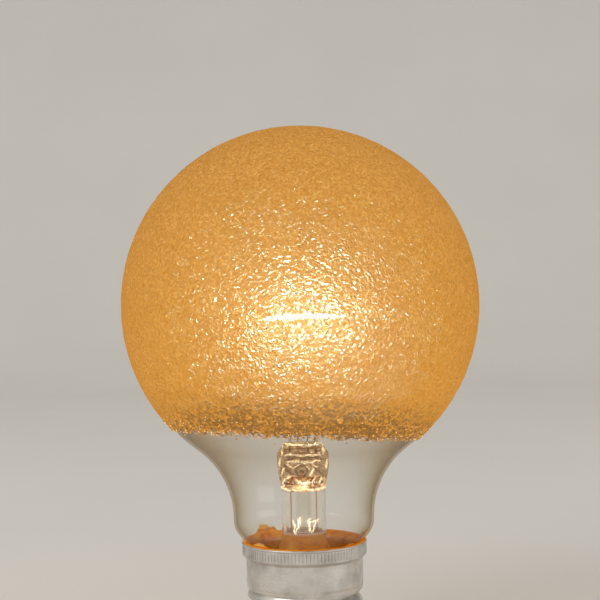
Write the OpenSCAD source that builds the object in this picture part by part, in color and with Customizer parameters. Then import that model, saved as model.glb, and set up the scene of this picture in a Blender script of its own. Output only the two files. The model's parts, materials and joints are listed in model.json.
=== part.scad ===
// Incandescent globe bulb with a granular coat, a clear neck and a screw cap.
// Millimetres. The axis is Z, and the centre contact's lowest point is at the origin.
// X runs along the filament.

/* [Globe] */
// Outside diameter of the blown globe
globe_d = 80; // [72:1:95]
// Thickness of the blown glass
glass_wall = 0.5; // [0.4:0.05:0.7]
// Thickness of the granular coat
coat_thickness = 0.3; // [0.2:0.05:0.5]
// Clear glass between the coat's lowest point and the start of the neck's curve, up the axis
coat_margin = 0.3; // [0.3:0.1:3]
// Tilt of the coat's edge, higher towards the viewer
coat_tilt = 4; // [0:0.5:6]
// Tilt of the coat's edge, lower on the viewer's right
coat_lean = 3; // [0:0.5:6]

/* [Neck] */
// Outside diameter of the neck at its straight stretch
neck_d = 31.8; // [30.6:0.2:35]
// Drop from the globe's lowest point to the end of the neck's hollow curve
shoulder_gap = 8; // [5:0.5:14]
// Length of the neck's straight stretch
neck_straight = 0.5; // [0.2:0.1:3]
// Radius of the rounded turn from the neck towards the cap
neck_turn_r = 4.9; // [3.6:0.1:6]
// Angle of that turn, from the axis
neck_turn_angle = 40; // [34:1:46]
// Radius of the turn from the taper to the sealed end
seal_turn_r = 3; // [1.6:0.1:3.2]

/* [Stem] */
// Outside diameter of the stem tube
stem_d = 10; // [9.4:0.2:12]
// Wall of the stem tube and of its flare
stem_wall = 0.8; // [0.6:0.05:0.9]
// Height of the press's top above the sealed end
stem_height = 27.6; // [24:0.2:34]
// Width of the press where it bulges most
press_w = 11.8; // [11:0.2:13]
// Thickness of the press where it bulges most
press_t = 3.8; // [3.6:0.1:4.6]
// Width of the press at its top
press_top_w = 9; // [8.4:0.2:10.4]
// Height of the press
press_h = 10.6; // [9.8:0.2:12]
// Outside diameter of the exhaust tube
exhaust_d = 3.4; // [2.8:0.1:3.8]
// Wall of the exhaust tube
exhaust_wall = 0.6; // [0.4:0.05:0.7]

/* [Filament and wires] */
// Distance between the leads' hooks
filament_span = 20.4; // [16:0.2:26]
// Outside diameter of the coil
coil_d = 1.2; // [0.9:0.05:1.5]
// Diameter of the coiled wire
coil_wire_d = 0.3; // [0.2:0.02:0.36]
// Turns of the coil
coil_turns = 22; // [14:1:26]
// Depth of the filament's ends below the globe's centre
filament_drop = 3; // [0:0.2:8]
// Upward bow of the filament's middle
filament_bow = 0.6; // [0:0.1:1.2]
// How much lower the left end hangs than the right
filament_tilt = 0.4; // [0:0.1:1]
// Diameter of the inner leads
lead_d = 0.6; // [0.4:0.05:0.7]
// Distance between the leads in the press
lead_spread = 5.8; // [5.4:0.1:6]
// Diameter of the seal wires, the outer leads and the fuse link
outer_lead_d = 0.3; // [0.2:0.02:0.34]
// Diameter of the support wires
support_d = 0.3; // [0.2:0.02:0.4]
// Distance between the support wires in the press
support_spread = 2.2; // [1.6:0.1:2.6]
// Distance between the support wires' loops
support_reach = 7.2; // [5:0.2:9]

/* [Cap] */
// Diameter over the thread's crests
thread_d = 26.2; // [26:0.05:26.3]
// Depth of the thread, crest to root
thread_depth = 1.1; // [0.9:0.05:1.2]
// Rise of the thread in one turn
thread_pitch = 3.629; // [3.2:0.001:4]
// Height of the threaded zone, up to the plain skirt
thread_len = 13.6; // [12:0.2:16]
// Diameter of the plain skirt above the thread
skirt_d = 26.4; // [26.35:0.05:26.6]
// Height of the plain skirt
skirt_len = 3.6; // [3:0.1:5]
// Height of the cone between the skirt and the ribbed band
shoulder_len = 0.8; // [0.6:0.1:1.4]
// Diameter of the ribbed band, between its ribs
band_d = 27.9; // [27.7:0.05:28]
// Height of the ribbed band
band_len = 2.4; // [2:0.1:3.4]
// Ribs round the band
rib_count = 108; // [72:4:120]
// Height of the ribs
rib_depth = 0.15; // [0.08:0.01:0.2]
// Diameter of the rim
rim_d = 28.4; // [28.3:0.05:28.8]
// Height of the rim
rim_len = 0.6; // [0.5:0.05:0.9]
// Thickness of the shell
shell_wall = 0.3; // [0.24:0.01:0.34]
// Diameter of the shell's lower edge
nose_d = 20.8; // [19.6:0.2:21.2]
// Height over which the shell's lower end widens to the thread
nose_len = 3.85; // [3.4:0.05:5]

/* [Centre contact] */
// Height of the solder dome
solder_rise = 1; // [0.6:0.1:1.4]
// Diameter of the solder dome
solder_d = 4.4; // [3.4:0.1:5]
// Diameter of the contact plate
plate_d = 10.4; // [9:0.2:11.4]
// Thickness of the contact plate
plate_t = 0.4; // [0.3:0.05:0.6]
// Drop from the shell's lower edge to the contact plate's lower face
insulator_drop = 4; // [3.2:0.1:5]
// Height of the insulating glass inside the shell
insulator_seat = 1.5; // [1.2:0.1:1.7]
// Diameter of the insulator's face round the contact plate
insulator_face_d = 12; // [11.6:0.2:13.4]
// Diameter of the eyelet's hole
eyelet_d = 1.9; // [1.5:0.1:2.4]

/* [Cement and side contact] */
// Gap between the glass and the shell at the cap's mouth
mouth_gap = 0.3; // [0.26:0.02:0.5]
// Gap between the sealed end of the glass and the skirt
seal_gap = 0.6; // [0.5:0.02:0.66]
// Room below the sealed end for the side lead's bend
bend_room = 1.2; // [1.1:0.1:1.8]
// Thickness of the cement squeezed onto the rim
squeeze_t = 0.15; // [0.1:0.01:0.25]
// Height of the torn cement flakes above the rim
flake_rise = 1.8; // [1:0.1:2.2]
// Direction of the side contact, from +X
side_angle = 146; // [100:1:170]
// Radius of the side contact's solder spot
side_solder_r = 1.5; // [1.2:0.05:1.7]

/* [Hidden] */
$fn = 96;

// Gap between pieces that seat in or on one another
fit_gap = 0.03;
// Overrun of every cut past the face that it opens
overrun = 0.5;

// Radii of the main pieces
globe_r = globe_d / 2;
neck_r = neck_d / 2;
stem_r = stem_d / 2;
skirt_r = skirt_d / 2;
band_r = band_d / 2;
rim_r = rim_d / 2;
mouth_r = band_r - shell_wall;
seal_r = skirt_r - shell_wall - seal_gap;
exhaust_r = exhaust_d / 2;
lead_r = lead_d / 2;
outer_lead_r = outer_lead_d / 2;
support_r = support_d / 2;
crest_r = thread_d / 2;
root_r = crest_r - thread_depth;
eyelet_r = eyelet_d / 2;

// Heights of the cap's stages, upwards from the centre contact
plate_z = solder_rise;
shell_z = plate_z + insulator_drop;
skirt_z = shell_z + thread_len;
shoulder_z = skirt_z + skirt_len;
band_z = shoulder_z + shoulder_len;
rim_z = band_z + band_len;
mouth_z = rim_z + rim_len;
insulator_top_z = shell_z + insulator_seat;

// Neck: where its rounded turn ends, and how far down the taper the mouth sits
turn_end_r = neck_r - neck_turn_r * (1 - cos(neck_turn_angle));
turn_drop = neck_turn_r * sin(neck_turn_angle);
glass_mouth_r = mouth_r - mouth_gap;
taper_to_mouth = (turn_end_r - glass_mouth_r) / tan(neck_turn_angle);
taper_end_r = seal_r + seal_turn_r * (1 - cos(neck_turn_angle));
taper_drop = (turn_end_r - taper_end_r) / tan(neck_turn_angle);

// Heights on the glass. The neck's hollow curve touches the globe and the neck's side.
turn_end_z = mouth_z + taper_to_mouth;
turn_z = turn_end_z + turn_drop;
curve_z = turn_z + neck_straight;
curve_drop = globe_r + shoulder_gap;
centre_z = curve_z + curve_drop;
curve_r = (neck_r * neck_r + curve_drop * curve_drop - globe_r * globe_r) / (2 * (globe_r - neck_r));
touch_share = globe_r / (globe_r + curve_r);
touch_r = (neck_r + curve_r) * touch_share;
touch_z = centre_z - curve_drop * touch_share;
taper_end_z = turn_end_z - taper_drop;
seal_turn_z = taper_end_z - seal_turn_r * sin(neck_turn_angle);
seal_z = skirt_z + bend_room + stem_wall;
coat_edge_z = touch_z + coat_margin + touch_r * norm([tan(coat_tilt) / cos(coat_lean), tan(coat_lean)]);

// Stem
flare_r = seal_r - glass_wall - stem_r;
flare_z = seal_z + flare_r;
press_top_z = seal_z + stem_height;
press_z = press_top_z - press_h;
bore_r = stem_r - stem_wall;
press_sides = 32;
press_ring_r = (stem_r + fit_gap) / cos(180 / press_sides);
bulge_share = 0.46;
bulge_len_share = 0.3;
bulge_z = press_z + press_h * bulge_share;
bulge_len = press_h * bulge_len_share;
press_top_t_share = 0.8;
press_top_r = press_t * press_top_t_share / 2;
press_edge_share = 0.3;
press_edge = press_top_r * press_edge_share;
imprint_t_share = 0.76;
imprint_w_share = 0.74;
imprint_z_share = 0.34;
imprint_half_t = press_t * imprint_t_share / 2;
ripple_count = 4;
ripple_share = 0.05;
ripple_r = press_h * ripple_share;
ripple_depth_share = 0.3;
lobe_x_share = 0.55;
lobe_r_share = 0.42;
lobe_rise_share = 0.14;
socket_rise_share = 0.11;
socket_z = press_z + press_h * socket_rise_share;
hole_rise_share = 0.4;
hole_z = press_z + press_h * hole_rise_share;
hole_r_share = 0.85;
hole_r = (exhaust_r - exhaust_wall) * hole_r_share;

// Wires in the press: inner lead on top of seal wire on top of outer lead
inner_weld_share = 0.77;
outer_weld_share = 0.05;
inner_weld_z = press_z + press_h * inner_weld_share;
outer_weld_z = press_z + press_h * outer_weld_share;
support_seat_share = 0.25;
support_foot_z = press_top_z - press_h * support_seat_share;
rise_share = 0.06;
bend_drop_share = 0.12;

// Filament
filament_z = centre_z - filament_drop;
half_span = filament_span / 2;
coil_r = coil_d / 2;
coil_wire_r = coil_wire_d / 2;
coil_path_r = coil_r - coil_wire_r;
coil_share = 0.84;
coil_rings = 10;
coil_sides = 6;
tail_over = lead_d;
hook_gap_share = 0.6;
hook_r = lead_r + coil_wire_r * (1 + hook_gap_share);
loop_gap_share = 0.1;
loop_r = coil_r * (1 + loop_gap_share) + support_r;
filament_y = hook_r;
hook_sweep = 250;
loop_sweep = 300;
wire_rise = filament_z - press_top_z;

// Wires below the press
exhaust_tip_z = shell_z + thread_len * 0.37;
fuse_top_z = skirt_z - thread_pitch * 0.3;
fuse_bend_z = exhaust_tip_z - thread_pitch * 0.3;
fuse_foot_z = plate_z + plate_t + eyelet_r * 0.2;
fuse_funnel_z = insulator_top_z + eyelet_r * 0.6;
side_gap_r = seal_r + seal_gap / 2;
side_bend_z = skirt_z - outer_lead_d * 5;
side_out_z = rim_z - band_len * 0.4;

// Sweeps
wire_sides = 8;
bend_steps = 4;
ring_steps = 12;

// Screw shell
thread_mid_r = (crest_r + root_r) / 2;
thread_shift = thread_depth / 2;
thread_sides = 36;
thread_slices = 16;
bore_sides = 24;
bore_slices = 10;
ramp_len = thread_depth * 1.2;
rim_chamfer_share = 0.2;
rim_chamfer = rim_len * rim_chamfer_share;
nose_r = nose_d / 2;
nose_slope = (skirt_r - nose_r) / nose_len;

// Flakes of cement: direction, half width at the foot and share of the full height
flake_list = [[150, 15, 1], [8, 11, 0.95], [205, 9, 0.4], [318, 7, 0.3]];
flake_tip_share = 0.2;
flake_ear_share = 0.3;
flake_ear_rise_share = 0.7;
squeeze_waves = [[3, 0.35], [7, 0.25], [17, 0.2]];

function unit(v) = v / norm(v);

// Direction of a path at point i
function along(path, i) = unit(path[min(i + 1, len(path) - 1)] - path[max(i - 1, 0)]);

// The part of v that is square to the direction d
function square_to(v, d) = unit(v - d * (v * d));

// One side direction for each point of a path, carried along it without twist
function sides_of(path, first) = [
    for (i = 0, s = square_to(first, along(path, 0)); i < len(path);
            i = i + 1, s = square_to(s, along(path, min(i, len(path) - 1))))
        s
];

// A path with each inner corner turned into a curve that starts bend_len from the corner
function rounded(points, bend_len) = [
    points[0],
    for (i = [1 : 1 : len(points) - 2])
        let (
            p = points[i],
            a = p + unit(points[i - 1] - p) * bend_len,
            b = p + unit(points[i + 1] - p) * bend_len
        )
        for (k = [0 : bend_steps])
            let (t = k / bend_steps)
            a * (1 - t) * (1 - t) + p * 2 * t * (1 - t) + b * t * t,
    points[len(points) - 1]
];

// An open ring round an axis along X, from its side towards the viewer up and over
function ring_path(centre, ring_r, sweep) = [
    for (k = [0 : ring_steps])
        let (a = 180 - sweep * k / ring_steps)
        centre + ring_r * [0, cos(a), sin(a)]
];

// A round wire swept along a path, as one closed skin
module wire(path, r, sides, first = [0, 1, 0]) {
    across = sides_of(path, first);
    points = [
        for (i = [0 : len(path) - 1])
            let (u = across[i], v = cross(along(path, i), u))
            for (k = [0 : sides - 1])
                let (a = 360 * k / sides)
                path[i] + r * (u * cos(a) + v * sin(a))
    ];
    walls = [
        for (i = [0 : len(path) - 2], k = [0 : sides - 1])
            let (a = i * sides + k, b = i * sides + (k + 1) % sides)
            each [[a, a + sides, b], [b, a + sides, b + sides]]
    ];
    first_cap = [for (k = [0 : sides - 1]) k];
    last_cap = [for (k = [sides - 1 : -1 : 0]) (len(path) - 1) * sides + k];
    polyhedron(points = points, faces = concat(walls, [first_cap, last_cap]), convexity = 10);
}

// A point at a distance, a direction and a height
function polar(r, angle, z) = [r * cos(angle), r * sin(angle), z];

// Height of the filament's middle line at x
function filament_line(x) =
    filament_z + filament_bow * (1 - pow(x / half_span, 2)) + filament_tilt * (x / half_span - 1) / 2;

// Half outline of the glass, grown or shrunk by an offset, from the axis outwards
module glass_half(offset_by) {
    intersection() {
        union() {
            translate([0, centre_z])
                circle(r = globe_r + offset_by);
            neck_half(offset_by);
        }
        translate([0, seal_z])
            square([globe_d, centre_z + globe_d]);
    }
}

// The neck's half outline: a block from the seal to the globe, less its two hollow curves
module neck_half(offset_by) {
    out = offset_by * cos(neck_turn_angle);
    down = offset_by * sin(neck_turn_angle);
    difference() {
        union() {
            polygon([
                [0, seal_z],
                [taper_end_r + out, seal_z],
                [taper_end_r + out, taper_end_z - down],
                [turn_end_r + out, turn_end_z - down],
                [0, turn_end_z - down]
            ]);
            intersection() {
                translate([neck_r - neck_turn_r, turn_z])
                    circle(r = neck_turn_r + offset_by);
                translate([0, turn_end_z - down])
                    square([neck_d, neck_d]);
            }
            translate([0, turn_end_z - down])
                square([neck_r - neck_turn_r, curve_drop * touch_share]);
            translate([0, turn_z])
                square([neck_r + offset_by, curve_z - turn_z]);
            translate([0, curve_z])
                square([touch_r + offset_by, touch_z - curve_z]);
        }
        translate([neck_r + curve_r, curve_z])
            circle(r = curve_r - offset_by);
        translate([seal_r + seal_turn_r, seal_turn_z])
            circle(r = seal_turn_r - offset_by);
        translate([seal_r + offset_by, seal_z - overrun])
            square([neck_r, seal_turn_z - seal_z + overrun]);
    }
}

module glass_envelope() {
    color([0.9, 0.8, 0.62, 0.35])
        rotate_extrude()
            difference() {
                glass_half(0);
                glass_half(-glass_wall);
                translate([0, seal_z - overrun])
                    square([seal_r - glass_wall, overrun * 2]);
            }
}

// The coat: a thin shell on the globe, cut off below along a slightly tilted plane
module frost_coat() {
    color([0.96, 0.8, 0.5, 0.8])
        difference() {
            rotate_extrude()
                intersection() {
                    translate([0, centre_z])
                        difference() {
                            circle(r = globe_r + fit_gap + coat_thickness);
                            circle(r = globe_r + fit_gap);
                        }
                    translate([0, touch_z])
                        square([globe_d, globe_d * 2]);
                }
            translate([0, 0, coat_edge_z])
                rotate([-coat_tilt, coat_lean, 0])
                    translate([-globe_d / 2, -globe_d / 2, -globe_r])
                        cube([globe_d, globe_d, globe_r]);
        }
}

// The stem tube with its trumpet-shaped foot, turned about the axis
module stem_tube() {
    rotate_extrude() {
        translate([bore_r, flare_z])
            square([stem_wall, press_z + fit_gap * 2 - flare_z]);
        intersection() {
            translate([stem_r + flare_r, flare_z])
                difference() {
                    circle(r = flare_r + stem_wall);
                    circle(r = flare_r);
                }
            translate([0, seal_z - stem_wall])
                square([stem_r + flare_r, flare_r + stem_wall]);
        }
        translate([stem_r + flare_r, seal_z - stem_wall])
            square([glass_wall, stem_wall]);
    }
}

// The press: the tube's end squeezed flat between two jaws
module press_block() {
    hull() {
        for (side = [-1, 1]) {
            translate([side * (press_top_w / 2 - press_top_r), 0, press_top_z - press_edge])
                cylinder(r1 = press_top_r, r2 = press_top_r - press_edge, h = press_edge, $fn = press_sides);
            translate([side * (press_w / 2 - press_t / 2), 0, bulge_z])
                cylinder(r = press_t / 2, h = bulge_len, $fn = press_sides);
        }
    }
    hull() {
        for (side = [-1, 1])
            translate([side * (press_w / 2 - press_t / 2), 0, bulge_z])
                cylinder(r = press_t / 2, h = bulge_len / 2, $fn = press_sides);
        translate([0, 0, press_z])
            cylinder(r = press_ring_r, h = bulge_len / 2, $fn = press_sides);
    }
}

// What one jaw takes off the press: a flat with a rounded lower end and fine ripples
module jaw_mark() {
    imprint_w = press_w * imprint_w_share;
    imprint_z = press_z + press_h * imprint_z_share;
    translate([-imprint_w / 2, imprint_half_t, imprint_z])
        cube([imprint_w, press_w, press_h]);
    translate([-imprint_w / 2, imprint_half_t + stem_r / 2, imprint_z])
        rotate([0, 90, 0])
            cylinder(r = stem_r / 2, h = imprint_w);
    for (i = [1 : ripple_count])
        translate([-imprint_w / 2, imprint_half_t + ripple_r * (1 - ripple_depth_share),
                imprint_z + (press_top_z - imprint_z) * i / (ripple_count + 1)])
            rotate([0, 90, 0])
                cylinder(r = ripple_r, h = imprint_w, $fn = 24);
}

// The hollow below the press: the tube's bore, two round lobes and the exhaust tube's seat
module press_hollow() {
    translate([0, 0, press_z - overrun])
        cylinder(r = bore_r, h = overrun);
    translate([0, 0, press_z])
        cylinder(r1 = bore_r, r2 = bore_r - stem_wall, h = stem_wall);
    for (side = [-1, 1])
        translate([side * bore_r * lobe_x_share, 0, press_z]) {
            cylinder(r = bore_r * lobe_r_share, h = press_h * lobe_rise_share);
            translate([0, 0, press_h * lobe_rise_share])
                sphere(r = bore_r * lobe_r_share);
        }
    translate([0, 0, press_z])
        cylinder(r = exhaust_r + fit_gap, h = socket_z - press_z + fit_gap);
    translate([0, 0, press_z])
        cylinder(r = hole_r, h = hole_z - press_z);
    translate([0, 0, hole_z])
        rotate([90, 0, 0])
            cylinder(r = hole_r, h = press_w);
}

module stem_flare() {
    color([0.92, 0.86, 0.74, 0.4])
        difference() {
            union() {
                stem_tube();
                press_block();
            }
            jaw_mark();
            mirror([0, 1, 0])
                jaw_mark();
            press_hollow();
            for (side = [-1, 1]) {
                translate([side * lead_spread / 2, 0, inner_weld_z])
                    cylinder(r = lead_r + fit_gap, h = press_h, $fn = 32);
                translate([side * lead_spread / 2, 0, press_z])
                    cylinder(r = outer_lead_r + fit_gap, h = press_h, $fn = 32);
                translate([side * support_spread / 2, 0, support_foot_z])
                    cylinder(r = support_r + fit_gap, h = press_h, $fn = 32);
            }
        }
}

module exhaust_tube() {
    color([0.9, 0.86, 0.78, 0.4])
        rotate_extrude()
            difference() {
                union() {
                    translate([0, exhaust_tip_z + exhaust_r])
                        square([exhaust_r, socket_z - exhaust_tip_z - exhaust_r]);
                    translate([0, exhaust_tip_z + exhaust_r])
                        intersection() {
                            circle(r = exhaust_r);
                            translate([0, -exhaust_r])
                                square([exhaust_r, exhaust_r]);
                        }
                }
                translate([0, exhaust_tip_z + exhaust_r])
                    square([exhaust_r - exhaust_wall, socket_z - exhaust_tip_z]);
            }
}

// One inner lead: out of the press, out to the filament's end, up and round its tail
module inner_lead(side) {
    x_foot = side * lead_spread / 2;
    x_top = side * half_span;
    z_top = filament_line(x_top);
    stem_path = rounded([
        [x_foot, 0, inner_weld_z],
        [x_foot, 0, press_top_z + wire_rise * rise_share],
        [x_top, 0, z_top - wire_rise * bend_drop_share],
        [x_top, 0, z_top - lead_r]
    ], lead_d * 2);
    hook_path = ring_path([x_top, hook_r, z_top], hook_r, hook_sweep);
    color([0.72, 0.7, 0.66])
        wire(concat(stem_path, hook_path), lead_r, wire_sides);
}

module inner_lead_left() {
    inner_lead(-1);
}

module inner_lead_right() {
    inner_lead(1);
}

// One seal wire, upright in the press
module seal_wire(side) {
    color([0.75, 0.35, 0.2])
        translate([side * lead_spread / 2, 0, outer_weld_z])
            cylinder(r = outer_lead_r, h = inner_weld_z - outer_weld_z, $fn = 24);
}

module seal_wire_left() {
    seal_wire(-1);
}

module seal_wire_right() {
    seal_wire(1);
}

// The side contact's lead: down the stem, round the sealed end, up beside the glass and out
function side_route() = rounded([
    [-lead_spread / 2, 0, outer_weld_z],
    [-lead_spread / 2, 0, side_bend_z - bend_room],
    polar(side_gap_r - bend_room, side_angle, side_bend_z),
    polar(side_gap_r, side_angle, skirt_z + bend_room / 2),
    polar(side_gap_r, side_angle, shoulder_z),
    polar(glass_mouth_r - outer_lead_r, side_angle, side_out_z),
    polar(rim_r + outer_lead_r, side_angle, side_out_z)
], outer_lead_d);

module outer_lead_left() {
    color([0.8, 0.45, 0.25])
        wire(side_route(), outer_lead_r, wire_sides);
}

module outer_lead_right() {
    color([0.8, 0.45, 0.25])
        translate([lead_spread / 2, 0, fuse_top_z])
            cylinder(r = outer_lead_r, h = outer_weld_z - fuse_top_z, $fn = 24);
}

module fuse_link() {
    color([0.6, 0.58, 0.55])
        wire(rounded([
            [lead_spread / 2, 0, fuse_top_z],
            [lead_spread / 2, 0, fuse_bend_z],
            [0, 0, fuse_funnel_z],
            [0, 0, fuse_foot_z]
        ], outer_lead_d), outer_lead_r, wire_sides);
}

// The coil's path: turns that start and end on the middle line, with a straight tail each end
function coil_point(t) =
    let (
        x = half_span * coil_share * (2 * t - 1),
        ease = min(1, min(t, 1 - t) * coil_turns),
        turn = 360 * coil_turns * t
    )
    [x, filament_y + coil_path_r * ease * cos(turn), filament_line(x) + coil_path_r * ease * sin(turn)];

function coil_path() =
    let (n = coil_turns * coil_rings, end_x = half_span + tail_over)
    concat(
        [for (x = [-end_x, -half_span]) [x, filament_y, filament_line(-half_span)]],
        [for (i = [0 : n]) coil_point(i / n)],
        [for (x = [half_span, end_x]) [x, filament_y, filament_line(half_span)]]
    );

module filament() {
    color([1, 0.85, 0.5])
        wire(coil_path(), coil_wire_r, coil_sides);
}

// One support wire: out of the press, out and up, and a loose loop round the coil
module support_wire(side) {
    x_foot = side * support_spread / 2;
    x_top = side * support_reach / 2;
    y_top = filament_y - loop_r;
    z_top = filament_line(x_top);
    stem_path = rounded([
        [x_foot, 0, support_foot_z],
        [x_foot, 0, press_top_z + wire_rise * rise_share],
        [x_top, y_top, z_top - wire_rise * bend_drop_share],
        [x_top, y_top, z_top - support_r]
    ], support_d * 3);
    loop_path = ring_path([x_top, filament_y, z_top], loop_r, loop_sweep);
    color([0.55, 0.53, 0.5])
        wire(concat(stem_path, loop_path), support_r, wire_sides);
}

module support_wire_left() {
    support_wire(-1);
}

module support_wire_right() {
    support_wire(1);
}

// The rolled thread as a solid: a round disc set off the axis and turned as it rises
module thread_core(r, sides, slices_per_turn) {
    turns = thread_len / thread_pitch;
    slices = round(slices_per_turn * turns);
    translate([0, 0, shell_z])
        linear_extrude(height = thread_len, twist = -360 * turns, slices = slices, $fn = sides)
            translate([thread_shift, 0])
                circle(r = r, $fn = sides);
}

// The cone that the thread runs out into at the shell's lower end
module nose_cone(inset) {
    translate([0, 0, shell_z - overrun])
        cylinder(
            r1 = nose_r - inset - nose_slope * overrun,
            r2 = nose_r - inset + nose_slope * (thread_len + overrun),
            h = thread_len + overrun * 2
        );
}

// Half outline of the shell from the thread's end up to the mouth
function skirt_outline(inset, top_z) = [
    [0, skirt_z - ramp_len],
    [root_r - inset, skirt_z - ramp_len],
    [skirt_r - inset, skirt_z],
    [skirt_r - inset, shoulder_z],
    [band_r - inset, band_z],
    [band_r - inset, top_z],
    [0, top_z]
];

module rib_band() {
    translate([0, 0, band_z + rib_depth])
        linear_extrude(height = band_len)
            polygon([
                for (i = [0 : 2 * rib_count - 1])
                    let (
                        a = 180 * i / rib_count,
                        r = i % 2 == 0 ? band_r + rib_depth : band_r - rib_depth / 2
                    )
                    [r * cos(a), r * sin(a)]
            ]);
}

module rim_ring() {
    rotate_extrude()
        polygon([
            [mouth_r - overrun, rim_z],
            [band_r, rim_z],
            [rim_r, rim_z + rim_chamfer * 2],
            [rim_r, mouth_z - rim_chamfer],
            [rim_r - rim_chamfer, mouth_z],
            [mouth_r - overrun, mouth_z]
        ]);
}

module cap_shell() {
    color([0.8, 0.72, 0.58])
        difference() {
            union() {
                intersection() {
                    thread_core(thread_mid_r, thread_sides, thread_slices);
                    nose_cone(0);
                }
                rotate_extrude()
                    polygon(skirt_outline(0, mouth_z - rim_chamfer));
                rib_band();
                rim_ring();
            }
            intersection() {
                thread_core(thread_mid_r - shell_wall, bore_sides, bore_slices);
                nose_cone(shell_wall);
            }
            translate([0, 0, shell_z - overrun])
                cylinder(r = nose_r - shell_wall, h = overrun * 2);
            rotate_extrude()
                polygon(skirt_outline(shell_wall, mouth_z + overrun));
            rotate([0, 0, side_angle])
                translate([mouth_r - overrun, -outer_lead_r - fit_gap, side_out_z - outer_lead_r - fit_gap])
                    cube([rim_r - mouth_r + overrun * 2, outer_lead_d + fit_gap * 2, mouth_z]);
        }
}

module cap_insulator() {
    inside_r = nose_r - shell_wall - fit_gap;
    lip_z = shell_z + shell_wall / nose_slope;
    color([0.08, 0.07, 0.07])
        rotate_extrude()
            polygon([
                [eyelet_r, plate_z + plate_t],
                [insulator_face_d / 2, plate_z + plate_t],
                [insulator_face_d / 2, plate_z + plate_t + glass_wall],
                [inside_r, shell_z - shell_wall],
                [inside_r, shell_z],
                [inside_r + nose_slope * insulator_seat, insulator_top_z],
                [eyelet_r * 2, insulator_top_z],
                [eyelet_r, insulator_top_z - eyelet_r]
            ]);
}

module contact_plate() {
    color([0.8, 0.62, 0.3])
        translate([0, 0, plate_z])
            difference() {
                cylinder(r = plate_d / 2, h = plate_t);
                translate([0, 0, -overrun])
                    cylinder(r = eyelet_r, h = plate_t + overrun * 2);
            }
}

module contact_solder() {
    dome_r = (pow(solder_d / 2, 2) + pow(solder_rise, 2)) / (2 * solder_rise);
    color([0.72, 0.72, 0.74]) {
        intersection() {
            translate([0, 0, dome_r])
                sphere(r = dome_r);
            cylinder(r = solder_d, h = plate_z);
        }
        translate([0, 0, plate_z - fit_gap])
            cylinder(r = eyelet_r - fit_gap, h = fuse_foot_z - plate_z + fit_gap);
    }
}

module side_solder() {
    color([0.72, 0.72, 0.74])
        difference() {
            translate(polar(rim_r, side_angle, side_out_z))
                sphere(r = side_solder_r);
            rotate_extrude()
                polygon([
                    [0, band_z - overrun * 2],
                    [band_r + rib_depth + fit_gap, band_z - overrun * 2],
                    [band_r + rib_depth + fit_gap, rim_z - fit_gap],
                    [rim_r + fit_gap, rim_z + rim_chamfer * 2 - fit_gap],
                    [rim_r + fit_gap, mouth_z + side_solder_r],
                    [0, mouth_z + side_solder_r]
                ]);
            wire([
                polar(mouth_r, side_angle, side_out_z),
                polar(rim_r + outer_lead_r + fit_gap, side_angle, side_out_z)
            ], outer_lead_r + fit_gap, wire_sides);
        }
}

// Cement between glass and shell, up to the mouth, before the glass is cut out of it
module cement_ring() {
    rotate_extrude()
        intersection() {
            polygon(skirt_outline(shell_wall + fit_gap, mouth_z + fit_gap * 2));
            translate([0, seal_z])
                square([rim_r, mouth_z + fit_gap * 2 - seal_z]);
        }
}

// How far the squeezed cement reaches over the rim in one direction
function squeeze_r(a) =
    rim_r - squeeze_t + squeeze_t * (
        squeeze_waves[0][1] * sin(squeeze_waves[0][0] * a)
        + squeeze_waves[1][1] * sin(squeeze_waves[1][0] * a + side_angle)
        + squeeze_waves[2][1] * cos(squeeze_waves[2][0] * a)
    );

module squeezed_lip() {
    translate([0, 0, mouth_z + fit_gap])
        linear_extrude(height = squeeze_t)
            polygon([for (a = [0 : 5 : 355]) [squeeze_r(a) * cos(a), squeeze_r(a) * sin(a)]]);
}

// A torn flake: a pointed piece of the skin that rises along the glass
module flake(direction, half_width, height_share) {
    rise = flake_rise * height_share;
    foot_w = tan(half_width) * rim_r;
    intersection() {
        rotate_extrude()
            intersection() {
                glass_half(fit_gap + squeeze_t);
                translate([0, mouth_z + fit_gap * 2])
                    square([neck_d, flake_rise * 2]);
            }
        rotate([0, 0, direction])
            rotate([90, 0, 90])
                linear_extrude(height = neck_d)
                    polygon([
                        [-foot_w, mouth_z],
                        [foot_w, mouth_z],
                        [foot_w * flake_tip_share, mouth_z + rise],
                        [-foot_w * flake_ear_share, mouth_z + rise * flake_ear_rise_share]
                    ]);
    }
}

module capping_cement() {
    color([0.6, 0.36, 0.14])
        difference() {
            union() {
                cement_ring();
                squeezed_lip();
                for (f = flake_list)
                    flake(f[0], f[1], f[2]);
            }
            rotate_extrude()
                glass_half(fit_gap);
            wire(side_route(), outer_lead_r + fit_gap, wire_sides);
        }
}

glass_envelope();
frost_coat();
stem_flare();
exhaust_tube();
inner_lead_left();
inner_lead_right();
seal_wire_left();
seal_wire_right();
outer_lead_left();
outer_lead_right();
fuse_link();
filament();
support_wire_left();
support_wire_right();
cap_shell();
cap_insulator();
contact_plate();
contact_solder();
side_solder();
capping_cement();
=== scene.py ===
"""A lit globe bulb: a granular golden coat on clear glass, a pressed glass stem and a rolled screw cap.

The file is laid out as an add-on. Each piece has an operator, and the sidebar panel lists them all.
"""

import json
import math

import bmesh
import bpy
import numpy as np
from bpy.props import FloatProperty, FloatVectorProperty, IntProperty, PointerProperty
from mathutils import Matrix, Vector, noise


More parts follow.
